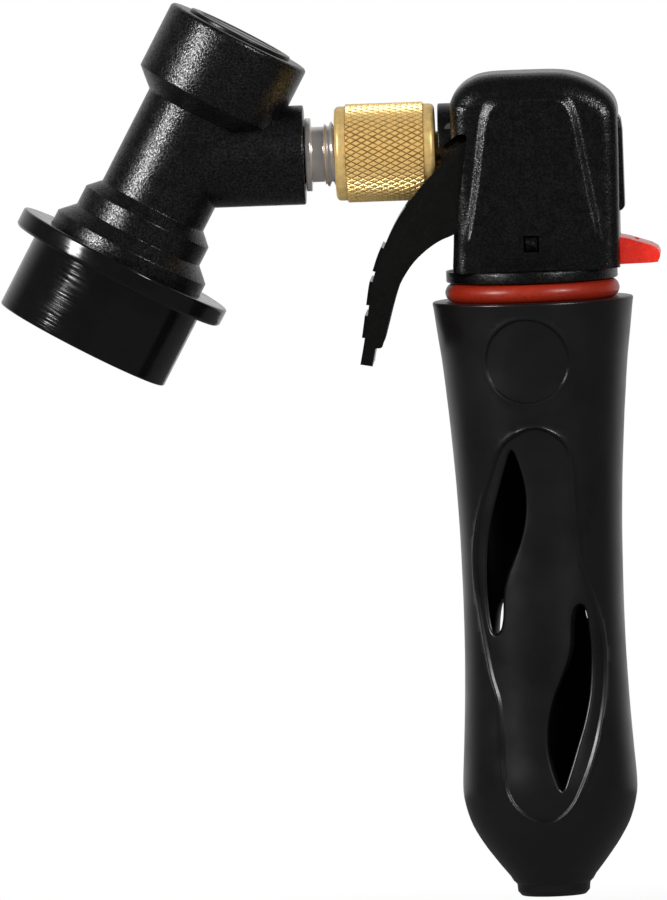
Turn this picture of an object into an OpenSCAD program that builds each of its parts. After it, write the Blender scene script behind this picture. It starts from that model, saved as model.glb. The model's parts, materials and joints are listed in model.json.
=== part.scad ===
// Hand-held gas charger for a keg: a ball-lock disconnect, a knurled flare nut and a trigger
// handle that holds one small gas cartridge.
// The model's origin is on the axis of the keg post socket, at the seat where the post stops.
// +Z runs up along the handle, +X from the disconnect to the handle. Lengths are in millimetres.

/* [Overall layout] */
// Lean of the disconnect's axis away from the handle's axis, in degrees
lean = 29.1; // [26:0.1:32]
// Height of the outlet's axis above the rim of the barrel
outlet_h = 26.05; // [25.8:0.05:27]
// Height along the disconnect's axis, from the seat, where the gas port meets it
port_h = 21.4; // [21:0.1:22.5]
// Length of the port boss from the disconnect's axis to its face
port_len = 22.05; // [21:0.05:24]

/* [Keg post socket] */
// Diameter of the bore that guides the keg post
post_d = 21.6; // [21.4:0.05:21.8]
// Depth of the guide bore, from its seat to its mouth
guide_depth = 12.9; // [12.8:0.1:13.5]
// Wall of the guide
guide_wall = 1.8; // [1.7:0.05:1.9]
// Diameter of the inner bore that the post's seal enters
seal_bore_d = 16; // [15:0.1:17]
// Depth of that inner bore above the seat
seal_bore_h = 8; // [7:0.1:8.5]
// Diameter of a lock ball
ball_d = 3.5; // [3.4:0.05:3.6]
// How far a locked ball stands into the guide bore
ball_bite = 0.8; // [0.7:0.05:0.82]
// How far a ball moves outwards as it lets go
ball_out = 0.85; // [0.83:0.01:0.9]
// Depth of the balls below the seat
ball_depth = 9; // [8.9:0.05:9.1]
// Number of lock balls
ball_count = 3; // [2:1:3]

/* [Release collar] */
// Diameter of the finger flange
flange_d = 39; // [37:0.5:41]
// Thickness of the finger flange
flange_t = 3.25; // [2.8:0.05:3.6]
// Depth of the flange's lower face below the seat
flange_drop = 1; // [0.8:0.1:1.4]
// Diameter of the skirt
skirt_d = 31.5; // [31.4:0.1:33]
// Length of the skirt below the flange
skirt_len = 13.4; // [13.2:0.1:14]
// How far the collar lifts to let the balls go
collar_travel = 4; // [3.6:0.1:4.1]
// Radial gap between the sliding collar and the body
collar_gap = 0.1; // [0.08:0.01:0.15]
// Wire of the collar spring
collar_wire = 0.7; // [0.6:0.05:0.75]
// Turns of the collar spring
collar_turns = 4; // [3:1:4]

/* [Disconnect body] */
// Diameter of the lower step, which slides in the collar
step_low_d = 28.4; // [28.3:0.05:28.5]
// Diameter of the upper step
step_top_d = 23.6; // [22:0.1:25]
// Diameter of the neck
neck_d = 19.4; // [18.4:0.1:20.5]
// Diameter of the head
head_d = 25.9; // [25:0.1:27.5]
// Height of the spring shoulder above the seat
shoulder_h = 1; // [0.9:0.1:1.4]
// Height of the lower step's straight wall
step_low_h = 3.5; // [3:0.1:4]
// Height of the cone between the two steps
step_cone_h = 2.4; // [2:0.1:2.8]
// Height of the upper step's straight wall
step_top_h = 3.5; // [3:0.1:4]
// Height of the cone between the upper step and the neck
neck_cone_h = 2.1; // [1.8:0.1:2.4]
// Height of the neck
neck_h = 17.7; // [17:0.1:18.4]
// Height of the cone under the head
head_cone_h = 3; // [2.6:0.1:3.4]
// Height of the head
head_h = 12.1; // [11.5:0.1:13]
// Rounding of the head's upper edge
head_round = 0.6; // [0.4:0.1:1]
// Diameter of the port boss
port_d = 17.1; // [16.5:0.1:18]
// Diameter of the gas chamber around the poppet spring
chamber_d = 12; // [11.5:0.1:12.5]
// Gas passage through the fitting and the port
gas_d = 3.8; // [3:0.1:4.2]

/* [Cap] */
// Diameter of the cap's visible disc
cap_d = 19; // [18.8:0.1:19.6]
// How far the disc stands proud of the head
cap_proud = 0.6; // [0.4:0.1:0.9]
// Diameter of the cap's plug
plug_d = 17.2; // [16.8:0.1:17.6]
// Depth of the plug
plug_h = 7; // [6.5:0.1:7.5]
// Width of the coin slot
coin_slot_w = 2; // [1.6:0.1:2.4]
// Depth of the coin slot
coin_slot_deep = 1.4; // [1:0.1:1.8]

/* [Poppet] */
// Diameter of the poppet's pin
poppet_pin_d = 4.4; // [4:0.1:4.8]
// Diameter of the poppet's head
poppet_head_d = 9.2; // [8.8:0.1:9.6]
// Height of the poppet's head
poppet_head_h = 3; // [2.5:0.1:3.5]
// Height of the poppet pin's tip above the seat
poppet_tip_h = 1.5; // [1.2:0.1:3]
// Wall between the inner bore and the gas chamber
poppet_seat_t = 1.8; // [1.5:0.1:2.2]
// Wire of the poppet spring
poppet_wire = 0.8; // [0.6:0.05:0.9]
// Turns of the poppet spring
poppet_turns = 9; // [7:1:12]

/* [Flare fitting and nut] */
// Crest diameter of the flare thread
flare_d = 11.1; // [11:0.05:11.2]
// Pitch of the flare thread
flare_pitch = 1.27; // [1.2:0.01:1.4]
// Diameter of the fitting's flange
stub_flange_d = 12.6; // [12:0.1:13.4]
// Thickness of the fitting's flange
stub_flange_t = 1; // [0.8:0.1:1.3]
// Length of the groove behind the thread
stub_groove_len = 2.2; // [2:0.1:2.3]
// Diameter of the groove behind the thread
stub_groove_d = 9.5; // [9:0.1:9.8]
// Length of the thread
flare_len = 7.7; // [7.4:0.1:8]
// Length of the fitting's cone
nose_len = 1.8; // [1.6:0.1:2]
// Diameter of the threaded root that screws into the port
stub_root_d = 10; // [9.6:0.1:10.6]
// Length of that root
stub_root_len = 7; // [6:0.1:7.5]
// Distance from the port's face to the nut
nut_start = 5.3; // [5.2:0.1:5.6]
// Length of the nut
nut_len = 17.2; // [17:0.1:18]
// Diameter over the nut's knurl
nut_d = 16.9; // [16.6:0.1:17]
// Length of each plain collar at the nut's ends
nut_collar_len = 1.8; // [1.4:0.1:2.2]
// How far the plain collars lie below the knurl
nut_collar_drop = 0.35; // [0.25:0.05:0.5]
// Rounding of the collars
nut_round = 1.3; // [0.8:0.1:1.4]
// Distance from the nut to the handle's boss
nut_gap = 0.6; // [0.5:0.1:0.8]

/* [Outlet stem] */
// Diameter of the swivelling stem
stem_d = 6.6; // [6.4:0.1:6.8]
// Diameter of the stem's head, which the nut pulls up
stem_head_d = 10.4; // [10:0.1:10.6]
// Length of the stem's head
stem_head_len = 4.4; // [4:0.1:4.6]
// Thickness of the flare washer
washer_t = 0.5; // [0.4:0.05:0.6]
// Gas passage in the stem
stem_bore_d = 2.6; // [2:0.1:3]
// Wire of the stem's seal ring
stem_ring_wire = 1; // [0.9:0.05:1.1]
// Diameter of the pin that keeps the stem in the handle
keeper_d = 2.2; // [2:0.1:2.3]

/* [Handle head] */
// Length of the head cover, front to back
cover_len = 28.9; // [28.7:0.1:30.5]
// Height of the head cover
cover_h = 33.9; // [33.8:0.1:35]
// Width of the head cover between its raised panels
cover_w = 22.8; // [22.6:0.1:23.6]
// How far each raised panel stands out
panel_proud = 1.1; // [0.8:0.1:1.3]
// Rounding along the cover's upper edges
cover_top_round = 4; // [3:0.1:5]
// Rounding of the cover's upright corners
cover_corner_round = 2.4; // [2:0.1:3]
// Wall of the cover's ends and top
cover_wall = 1.5; // [1.3:0.1:1.6]
// Wall of the cover's sides
cover_side_wall = 0.9; // [0.8:0.05:1]
// Distance from the handle's axis forward to the cover's front
cover_front = 13.4; // [13.3:0.1:14]
// Height of the back spine's lower end above the barrel's rim
spine_low = 15; // [13:0.1:17]
// Height of the back spine's upper end above the barrel's rim
spine_top = 31.3; // [29:0.1:32]
// How far the back spine stands out
spine_proud = 0.9; // [0.6:0.1:1.2]
// Width of the back spine
spine_w = 10; // [8:0.1:12]
// Diameter of the collar at the outlet
boss_d = 16.1; // [15.9:0.1:16.6]
// Distance from the handle's axis to the collar's face
boss_reach = 15.2; // [15:0.1:16]
// Width of the frame's tower
tower_w = 16.4; // [16.2:0.1:16.6]
// Height of the tower's top above the barrel's rim
tower_top = 33.5; // [33:0.1:34]
// Diameter of the frame's round flange
ring_d = 29.5; // [29:0.1:30.5]
// Height of that flange's lower face above the rim
ring_low = 3.3; // [3.2:0.05:3.6]
// Thickness of that flange
ring_t = 1.9; // [1.6:0.05:1.95]
// Width of a snap window
snap_w = 2.6; // [2.2:0.1:3]
// Height of a snap window
snap_h = 2.8; // [2.4:0.1:3.2]

/* [Neck and seal] */
// Diameter of the neck's thread
neck_thread_d = 24.7; // [24.5:0.1:24.8]
// Length of the neck below the rim
neck_len = 9; // [8.8:0.1:9.4]
// Pitch of the barrel's thread
barrel_pitch = 2; // [1.5:0.1:2.5]
// Wire of the seal ring above the barrel
seal_wire = 3.5; // [3.3:0.05:3.55]
// Outer diameter of the seal ring
seal_od = 30; // [29.8:0.1:30.4]

/* [Gas valve] */
// Diameter of the cartridge's threaded neck
cartridge_neck_d = 9.52; // [9.4:0.02:9.6]
// Length of the socket's thread
socket_thread = 5.6; // [5.2:0.1:5.8]
// Diameter of the manifold's socket part
manifold_low_d = 16.8; // [16:0.1:17.4]
// Diameter of the manifold's upright part
manifold_post_d = 12.4; // [12:0.1:12.8]
// Diameter of the manifold's valve barrel
manifold_valve_d = 9.6; // [9:0.1:10]
// Height of the valve's axis above the barrel's rim
valve_h = 16.5; // [16.3:0.05:16.7]
// Diameter of the valve stem
valve_stem_d = 2.5; // [2.3:0.1:2.7]
// Diameter of the valve's chamber
valve_chamber_d = 6; // [5.8:0.1:6.4]
// Travel of the valve stem
valve_travel = 2.4; // [2.3:0.05:2.5]
// Wire of the valve spring
valve_wire = 0.5; // [0.4:0.05:0.6]
// Turns of the valve spring
valve_turns = 6; // [5:1:8]
// Diameter of the piercing pin
pierce_d = 3; // [2.6:0.1:3.2]

/* [Trigger] */
// Distance from the handle's axis forward to the trigger's pivot
pivot_x = 6.4; // [6.2:0.1:6.6]
// Distance of the pivot below the outlet's axis
pivot_drop = 0.35; // [0.2:0.05:0.5]
// Reach of the trigger forward of its pivot
trigger_reach = 23.4; // [22.6:0.1:24]
// Drop of the trigger's tip below its pivot
trigger_drop = 35.9; // [35:0.1:38]
// Thickness of each arm
arm_t = 1.6; // [1.5:0.05:1.65]
// Gap between the nut's knurl and each arm
arm_gap = 0.15; // [0.1:0.05:0.2]
// Thickness of the finger plate
plate_t = 2.1; // [1.8:0.1:2.4]
// How far the grip pads stand out
pad_proud = 0.5; // [0.3:0.1:0.7]
// Diameter of the bar that pushes the valve stem
push_bar_d = 2.4; // [2.2:0.1:2.5]
// Diameter of the pivot pins
pivot_d = 3; // [2.8:0.1:3.2]

/* [Safety slide] */
// Length of the tab that shows behind the cover
tab_len = 6.9; // [6:0.1:8]
// Height of the tab at the cover
tab_h = 4.8; // [4.4:0.1:4.9]
// Width of the tab
tab_w = 13; // [11:0.5:13.5]
// Travel of the slide
slide_travel = 3.4; // [3:0.1:3.4]
// Thickness of the slide's fork
fork_t = 1.6; // [1.4:0.1:1.7]

/* [Barrel] */
// Diameter of the barrel's rim
rim_d = 34.7; // [34.5:0.1:36]
// Length of the barrel
barrel_len = 102.8; // [102:0.2:106]
// Diameter of the bay that holds the cartridge
bay_d = 23; // [22.8:0.1:23.2]
// Thickness of the barrel's floor
floor_t = 8; // [7.6:0.1:8.2]
// Height of the bay's narrowing end above the floor
bay_end_h = 8.3; // [8:0.1:8.6]
// Diameter of the rest pad at the bay's floor
pad_d = 16; // [15:0.1:16.4]
// Thickness of the rest pad
pad_t = 3.7; // [3.4:0.1:4]
// Depth of the shallow band that runs down each face
band_deep = 0.5; // [0.3:0.05:0.6]
// Diameter of the round recess near the rim
badge_d = 14.4; // [13:0.1:15]
// Depth of that recess
badge_deep = 0.4; // [0.2:0.05:0.5]
// Turn of the barrel's pattern about its axis, in degrees
pattern_turn = 4; // [0:0.5:10]

/* [Hidden] */
$fn = 64;

// clearances and small sizes that several pieces share
overrun = 1;
seat_gap = 0.05;
run_gap = 0.05;
tight_gap = 0.1;
side_gap = 0.2;
clear_gap = 0.3;
edge = 0.4;

// places on the disconnect's axis, measured up from the seat
guide_r = post_d / 2;
guide_out_r = guide_r + guide_wall;
collar_bore_r = step_low_d / 2 + collar_gap;
step_low_top = shoulder_h + step_low_h;
step_cone_top = step_low_top + step_cone_h;
step_top_top = step_cone_top + step_top_h;
neck_low = step_top_top + neck_cone_h;
neck_top = neck_low + neck_h;
head_low = neck_top + head_cone_h;
head_top = head_low + head_h;
plug_low = head_top - plug_h;
chamber_low = seal_bore_h + poppet_seat_t;
seal_t = 0.65;
poppet_head_low = chamber_low + seat_gap + seal_t;
poppet_head_top = poppet_head_low + poppet_head_h;
poppet_clear = 0.8;
poppet_hole_d = poppet_pin_d + 2 * poppet_clear;

// the relief round the balls, the balls at rest and the collar's cone that holds them
relief = 0.25;
relief_half = 0.57 * ball_d;
ball_r = ball_d / 2;
ball_rest = guide_r - ball_bite + ball_r;
cam_gap = 0.08;
cam_angle = atan(ball_out / collar_travel);
cam_r = ball_rest + (ball_r + cam_gap) / cos(cam_angle);
cam_lip_h = 1;
cam_top = -ball_depth + ball_r * 0.8;
skirt_foot = -flange_drop - skirt_len;
ledge_h = cam_top + cam_lip_h;
cam_r_top = cam_r - (cam_top + ball_depth) * tan(cam_angle);
cam_r_foot = cam_r + (-ball_depth - skirt_foot) * tan(cam_angle);

// the outlet line, measured from the port's face towards the handle
stub_gap = 0.2;
groove_start = stub_gap + stub_flange_t;
thread_start = groove_start + stub_groove_len;
thread_end = thread_start + flare_len;
nose_end = thread_end + nose_len;
nut_end = nut_start + nut_len;
boss_face = nut_end + nut_gap;
stem_head_end = thread_end + seat_gap + washer_t + stem_head_len;
nut_wall_start = stem_head_end + seat_gap;
port_x = port_h * sin(lean);
port_z = port_h * cos(lean);
face_x = port_x + port_len;

// the handle's own frame: its axis, with z zero at the barrel's rim
handle_x = face_x + boss_face + boss_reach;
handle_z = port_z - outlet_h;
boss_r = boss_d / 2;
boss_wall = 0.75;
manifold_depth = 4.7;
stem_depth = 8.8;
stem_ring_depth = 1.9;
keeper_depth = 2.3;
manifold_front = boss_reach - manifold_depth;
stem_end_x = -boss_reach + stem_depth;
stem_ring_x = -manifold_front + stem_ring_depth;
keeper_x = -boss_reach + keeper_depth;
keeper_z = outlet_h + stem_d / 2 + keeper_d / 4;
keeper_half = sqrt(pow(boss_r, 2) - pow(keeper_z - outlet_h, 2));
ring_top = ring_low + ring_t;
sill_h = 1.2;
cover_foot = ring_top + seat_gap;
cover_back = cover_len - cover_front;
cover_top = cover_foot + cover_h;

// the trigger's pivot, arms and push bar
pivot_z = outlet_h - pivot_drop;
arm_in = nut_d / 2 + arm_gap;
arm_out = arm_in + arm_t;
push_ahead = 6;
push_x = -pivot_x - push_ahead;
hub_wall = 1.8;
stop_gap = 0.35;
stem_tip_x = push_x + push_bar_d / 2 + tight_gap;
tower_front = stem_tip_x + valve_travel + stop_gap;

// the valve's line, measured along x from the handle's axis
valve_seat_back = 4.4;
valve_room_len = 10.6;
plug_len = 3.2;
seat_bore_len = 4;
cross_back = 2;
gland_depth = 1.1;
valve_seat_x = -pivot_x + valve_seat_back;
valve_seal_t = 0.7;
valve_head_x = valve_seat_x + seat_gap + valve_seal_t;
valve_head_t = 2.6;
valve_head_d = valve_chamber_d - 0.8;
plug_x = valve_seat_x + valve_room_len;
valve_end_x = plug_x + plug_len;
cross_x = valve_seat_x - cross_back;
gland_x = tower_front + gland_depth;
gland_wire = 0.9;

// the neck, the socket for the cartridge and the piercing pin
neck_r = neck_thread_d / 2;
seal_r = seal_wire / 2;
seal_track = seal_od / 2 - seal_r;
neck_ring_r = seal_track - seal_r - seat_gap;
socket_relief = 0.35;
socket_room_h = 3.9;
pierce_seat_h = 3;
gas_room_h = 2.5;
socket_top = -neck_len + socket_thread + socket_room_h;
seal_disc_t = 1.2;
pierce_low = -neck_len + socket_thread + side_gap;
gas_room_low = socket_top + pierce_seat_h;
gas_room_top = gas_room_low + gas_room_h;
gas_room_d = 5.2;
post_low = neck_len / 2;

// the safety slide's fork
fork_room = 0.5;
fork_reach = 8.2;
fork_bar = 2.6;
fork_z = ring_top + edge;
fork_in = manifold_post_d / 2 + fork_room;
fork_out = tower_w / 2 - side_gap;
fork_back = cover_back - cover_wall - tight_gap;
fork_bar_x = fork_back - fork_bar;

// the barrel's bore and pad
rim_r = rim_d / 2;
bay_r = bay_d / 2;
floor_depth = barrel_len - floor_t;
bay_depth = floor_depth - bay_end_h;
seal_lip = 0.35;
thread_runout = 0.6;
chamfer_r = seal_track + seal_r - seal_lip;
thread_bore_r = neck_r + run_gap;
chamfer_deep = chamfer_r - thread_bore_r;
foot_bore_r = pad_d / 2 + clear_gap;
foot_bore_top = floor_depth - pad_t - clear_gap;
thread_room = neck_len + thread_runout;

// The barrel's outline: share of its length below the rim, share of the rim's radius
barrel_shares = [[0, 1], [0.034, 0.968], [0.095, 0.922], [0.162, 0.887], [0.246, 0.847],
    [0.34, 0.816], [0.45, 0.799], [0.585, 0.7985], [0.68, 0.818], [0.78, 0.854], [0.817, 0.867],
    [0.831, 0.862], [0.865, 0.813], [0.898, 0.72], [0.931, 0.586], [0.965, 0.43],
    [0.979, 0.357], [0.993, 0.351], [1, 0.3]];
// One end of the shallow band: share of the rim's radius across, share of the barrel's length
band_shares = [[0.06, 0.211], [0.34, 0.238], [0.385, 0.29], [0.405, 0.375], [0.452, 0.447],
    [0.56, 0.506], [0.63, 0.564], [0.63, 0.642], [0.575, 0.71], [0.465, 0.778], [0.315, 0.837],
    [0.06, 0.868], [-0.2, 0.852], [-0.35, 0.817], [-0.38, 0.75], [-0.4, 0.68],
    [-0.49, 0.622], [-0.575, 0.535], [-0.635, 0.438], [-0.565, 0.36], [-0.412, 0.287],
    [-0.23, 0.229]];
// The middle that the band and its two windows turn about
band_mid_shares = [0, 0.531];
// The upper window, in the same shares
window_shares = [[-0.202, 0.246], [-0.11, 0.282], [-0.069, 0.331], [-0.107, 0.379],
    [-0.187, 0.418], [-0.294, 0.455], [-0.354, 0.486], [-0.372, 0.535], [-0.444, 0.554],
    [-0.5245, 0.525], [-0.55, 0.467], [-0.5245, 0.409], [-0.438, 0.35], [-0.323, 0.292]];
// Height of the round recess's middle, as a share of the barrel's length, and its shift across
badge_share = 0.097;
badge_shift_share = 0;

// The head cover's side outline: share of its length from the front, share of its height
cover_shares = [[0, 0], [1, 0], [1.004, 0.29], [1.01, 0.5], [1.014, 0.77], [1.008, 0.815],
    [0.985, 0.855], [0.945, 0.893], [0.88, 0.93], [0.8, 0.966], [0.72, 0.985], [0.6, 0.996],
    [0.35, 1], [0.25, 0.998], [0.17, 0.98], [0.1, 0.95], [0.05, 0.91], [0.014, 0.857],
    [0.014, 0.7], [0, 0.1]];
// The cover's hollow in the same shares
hollow_shares = [[0.05, -0.05], [0.95, -0.05], [0.95, 0.82], [0.85, 0.885], [0.66, 0.935],
    [0.3, 0.945], [0.15, 0.9], [0.07, 0.84]];
// The open slot at the front that the trigger's arms run in
slot_shares = [[-0.2, 0.2], [0.03, 0.2], [0.118, 0.695], [0.105, 0.704], [0.066, 0.704],
    [0.04, 0.693], [0.015, 0.668], [-0.03, 0.645], [-0.065, 0.632], [-0.2, 0.61]];
// The raised side panel: its foot on the cover and its raised face
panel_foot_shares = [[0.1, 0.095], [0.16, 0.05], [0.26, 0.015], [0.45, 0.0], [0.64, 0.01],
    [0.78, 0.05], [0.865, 0.1], [0.9, 0.15], [0.9, 0.21], [0.86, 0.42], [0.825, 0.6],
    [0.795, 0.74], [0.75, 0.855], [0.68, 0.9], [0.55, 0.918], [0.38, 0.918], [0.25, 0.905],
    [0.18, 0.85], [0.145, 0.7], [0.12, 0.5], [0.09, 0.3], [0.06, 0.19]];
panel_face_shares = [[0.12, 0.155], [0.84, 0.155], [0.85, 0.2], [0.81, 0.42], [0.775, 0.6],
    [0.745, 0.72], [0.71, 0.82], [0.65, 0.86], [0.55, 0.875], [0.38, 0.875], [0.28, 0.86],
    [0.22, 0.8], [0.19, 0.68], [0.165, 0.5], [0.135, 0.3], [0.115, 0.2]];
// Height of the snap windows as a share of the cover's height, and their shift from the axis
snap_share = 0.138;
snap_shift_share = 0.12;

// The trigger's outer edge, from its pivot down: share of its reach forward, of its drop
trigger_edge_shares = [[0.154, -0.07], [0.239, -0.017], [0.368, 0.056], [0.496, 0.139],
    [0.581, 0.206], [0.645, 0.256], [0.701, 0.312], [0.752, 0.373], [0.795, 0.437],
    [0.829, 0.479], [0.859, 0.535], [0.893, 0.604], [0.923, 0.716], [0.953, 0.827],
    [0.974, 0.911], [1, 0.989]];
// The trigger's inner edge, from its tip back up to the pivot
trigger_inner_shares = [[0.91, 1], [0.893, 0.922], [0.846, 0.916], [0.829, 0.902],
    [0.795, 0.827], [0.752, 0.73], [0.709, 0.646], [0.667, 0.588], [0.603, 0.526],
    [0.538, 0.482], [0.453, 0.437], [0.368, 0.407], [0.265, 0.38], [0.2, 0.36], [0, 0.2],
    [-0.1, 0.04]];
// Where the finger plate starts on the outer edge, as a point number on that edge
plate_from = 5;
// Each grip pad's ends, as shares of the trigger's drop
pad_shares = [[0.437, 0.549], [0.596, 0.707], [0.757, 0.863]];

// The slide's tab from the cover backwards: share of its length, share of its height
tab_shares = [[-0.3, 0], [0.92, 0.02], [0.98, 0.13], [1, 0.33], [0.96, 0.5], [0.82, 0.645],
    [0.53, 0.79], [0.24, 0.935], [0, 1], [-0.3, 1]];

// smooth closed curve through points, with a few steps from each point to the next
function curve(p, steps) = let(n = len(p)) [for (i = [0:n - 1], k = [0:steps - 1])
    let(t = k / steps, a = p[(i + n - 1) % n], b = p[i], c = p[(i + 1) % n], d = p[(i + 2) % n])
    (2 * b + (c - a) * t + (2 * a - 5 * b + 4 * c - d) * t * t
        + (3 * b - a - 3 * c + d) * t * t * t) / 2];

// points of a side outline on the cover, from shares of its length and height
function on_cover(shares) = [for (s = shares)
    [-cover_front + s[0] * cover_len, cover_foot + s[1] * cover_h]];

// points on the trigger from shares of its reach and drop
function on_trigger(shares) = [for (s = shares)
    [-pivot_x - s[0] * trigger_reach, pivot_z - s[1] * trigger_drop]];

// points on the barrel's face from shares of its rim radius and length
function on_barrel(shares) = [for (s = shares) [s[0] * rim_r, -s[1] * barrel_len]];

// one point of a coil that runs along z from z0 to z1
function coil_ring(r, wire, z0, z1, turns, i, rings, sides) = [for (k = [0:sides - 1])
    let(a = 360 * turns * i / rings, b = 360 * k / sides, q = r + wire / 2 * cos(b))
    [q * cos(a), q * sin(a), z0 + (z1 - z0) * i / rings + wire / 2 * sin(b)]];

// least gap between neighbouring turns of a coil, on its centre line's points
function coil_gap(z0, z1, turns, wire) = (z1 - z0) / turns - wire;

// places a child on the disconnect's axis, with z zero at the seat
module on_disconnect() {
    rotate([0, lean, 0]) children();
}

// places a child on the outlet line, with its z along the line from the port's face
module on_outlet(s = 0) {
    translate([face_x + s, 0, port_z]) rotate([0, 90, 0]) children();
}

// places a child in the handle's frame
module on_handle() {
    translate([handle_x, 0, handle_z]) children();
}

// a round bar along x in the handle's frame, from x0 to x1
module bar_x(r, x0, x1, z) {
    translate([x0, 0, z]) rotate([0, 90, 0]) cylinder(r = r, h = x1 - x0);
}

// a side outline made solid across the handle, from y0 to y1
module across(points, y0, y1) {
    translate([0, y1, 0]) rotate([90, 0, 0]) linear_extrude(y1 - y0) polygon(points);
}

// the same on both sides of the handle
module both_sides() {
    children();
    mirror([0, 1, 0]) children();
}

// a coil of round wire along z, from z0 to z1 on its centre line
module coil(r, wire, z0, z1, turns, rings_a_turn = 12) {
    rings = rings_a_turn * turns;
    sides = 6;
    points = [for (i = [0:rings]) each coil_ring(r, wire, z0, z1, turns, i, rings, sides)];
    walls = [for (i = [0:rings - 1], k = [0:sides - 1], half = [0, 1])
        let(n = (k + 1) % sides, a = i * sides, b = a + sides)
        half == 0 ? [a + k, b + k, b + n] : [a + k, b + n, a + n]];
    first = [for (k = [1:sides - 2]) [0, k, k + 1]];
    last = [for (k = [1:sides - 2]) [rings * sides, rings * sides + k + 1, rings * sides + k]];
    polyhedron(points, concat(walls, first, last));
}

// a round ring of wire about z
module wire_ring(track, wire_r, z) {
    translate([0, 0, z]) rotate_extrude() translate([track, 0]) circle(r = wire_r, $fn = 32);
}

// Body of the disconnect: post guide, steps, neck, head and gas port in one moulding
module disconnect_body() {
    color("#1d1c1d") on_disconnect() difference() {
        union() {
            rotate_extrude() polygon([[0, -guide_depth], [guide_out_r - edge, -guide_depth],
                [guide_out_r, -guide_depth + edge], [guide_out_r, shoulder_h],
                [step_low_d / 2, shoulder_h], [step_low_d / 2, step_low_top],
                [step_top_d / 2, step_cone_top], [step_top_d / 2, step_top_top],
                [neck_d / 2, neck_low], [neck_d / 2, neck_top], [head_d / 2, head_low],
                [head_d / 2, head_top - head_round], [head_d / 2 - head_round, head_top],
                [0, head_top]]);
            translate([0, 0, port_h]) rotate([0, 90 - lean, 0])
                cylinder(d = port_d, h = port_len);
        }
        translate([0, 0, -guide_depth - overrun])
            cylinder(r = guide_r, h = guide_depth + overrun);
        translate([0, 0, -ball_depth - relief_half])
            cylinder(r = guide_r + relief, h = 2 * relief_half);
        cylinder(d = seal_bore_d, h = seal_bore_h);
        cylinder(d = poppet_hole_d, h = chamber_low + overrun);
        translate([0, 0, chamber_low]) cylinder(d = chamber_d, h = head_top);
        translate([0, 0, plug_low]) cylinder(d = plug_d, h = plug_h + overrun);
        ball_holes();
        translate([0, 0, port_h]) rotate([0, 90 - lean, 0]) port_bores();
    }
}

// the holes in the guide's wall that the balls sit in, too narrow inside for a ball to fall out
module ball_holes() {
    inner_r = guide_r + relief;
    for (i = [0:ball_count - 1]) rotate([0, 0, ball_angle(i)])
        translate([inner_r, 0, -ball_depth]) rotate([0, 90, 0]) {
            translate([0, 0, ball_rest - inner_r]) {
                sphere(r = ball_r + run_gap);
                cylinder(r = ball_r + run_gap, h = guide_wall + overrun);
            }
        }
}

// the port's bores: the tapped root and the gas passage
module port_bores() {
    translate([0, 0, port_len - stub_root_len - clear_gap])
        cylinder(d = stub_root_d, h = stub_root_len + clear_gap + overrun);
    cylinder(d = gas_d, h = port_len);
}

// direction of each ball about the disconnect's axis
function ball_angle(i) = 60 + i * 360 / ball_count;

// Cap screwed into the head, with a slot for a coin
module disconnect_cap() {
    color("#18181a") on_disconnect() difference() {
        union() {
            translate([0, 0, plug_low + ring_groove_low()])
                cylinder(r = plug_d / 2 - seat_gap, h = plug_h - ring_groove_low());
            translate([0, 0, plug_low + seat_gap])
                cylinder(r = plug_d / 2 - cap_ring_wire(), h = plug_h);
            translate([0, 0, head_top + seat_gap]) cylinder(d = cap_d, h = cap_proud - seat_gap);
        }
        translate([-cap_d, -coin_slot_w / 2, head_top + cap_proud - coin_slot_deep])
            cube([2 * cap_d, coin_slot_w, coin_slot_deep + overrun]);
    }
}

// the cap's ring: its wire, and the step in the plug above it
function cap_ring_wire() = plug_d / 12;
function ring_groove_low() = cap_ring_wire() + 2 * seat_gap;

// Ring that seals the cap
module cap_ring() {
    w = cap_ring_wire() / 2 - seat_gap;
    color("#161616") on_disconnect()
        wire_ring(plug_d / 2 - seat_gap - w, w, plug_low + seat_gap + w);
}

// Sliding collar: finger flange, skirt and the cone that holds the balls in
module release_collar() {
    low = skirt_foot;
    color("#141414") on_disconnect() rotate_extrude() polygon([
        [cam_r_foot, low], [skirt_d / 2 - edge, low], [skirt_d / 2, low + edge],
        [skirt_d / 2, -flange_drop - edge], [flange_d / 2 - edge, -flange_drop - edge],
        [flange_d / 2, -flange_drop], [flange_d / 2, -flange_drop + flange_t - edge / 2],
        [flange_d / 2 - edge / 2, -flange_drop + flange_t],
        [collar_bore_r, -flange_drop + flange_t], [collar_bore_r, ledge_h],
        [cam_r_top, ledge_h], [cam_r_top, cam_top]]);
}

// Spring that pushes the collar down
module collar_spring() {
    track = (guide_out_r + collar_bore_r) / 2;
    low = ledge_h + seat_gap + collar_wire / 2;
    high = shoulder_h - seat_gap - collar_wire / 2;
    echo("least gap in the collar spring", coil_gap(low, high, collar_turns, collar_wire));
    color("#b9bcc0") on_disconnect() coil(track, collar_wire, low, high, collar_turns, 24);
}

// One steel ball that grips the post's groove
module lock_ball(i) {
    color("#c9ccd0") on_disconnect() rotate([0, 0, ball_angle(i)])
        translate([ball_rest, 0, -ball_depth]) sphere(r = ball_r);
}

module lock_ball_1() lock_ball(0);
module lock_ball_2() lock_ball(1);
module lock_ball_3() lock_ball(2);

// Poppet that the keg post's own valve pushes up
module poppet() {
    color("#2c2c2e") on_disconnect() {
        translate([0, 0, poppet_tip_h])
            cylinder(d = poppet_pin_d, h = poppet_head_low - poppet_tip_h + overrun);
        translate([0, 0, poppet_head_low]) cylinder(d = poppet_head_d, h = poppet_head_h);
        translate([0, 0, poppet_head_low])
            cylinder(d = poppet_head_d / 2, h = 2 * poppet_head_h);
    }
}

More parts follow.
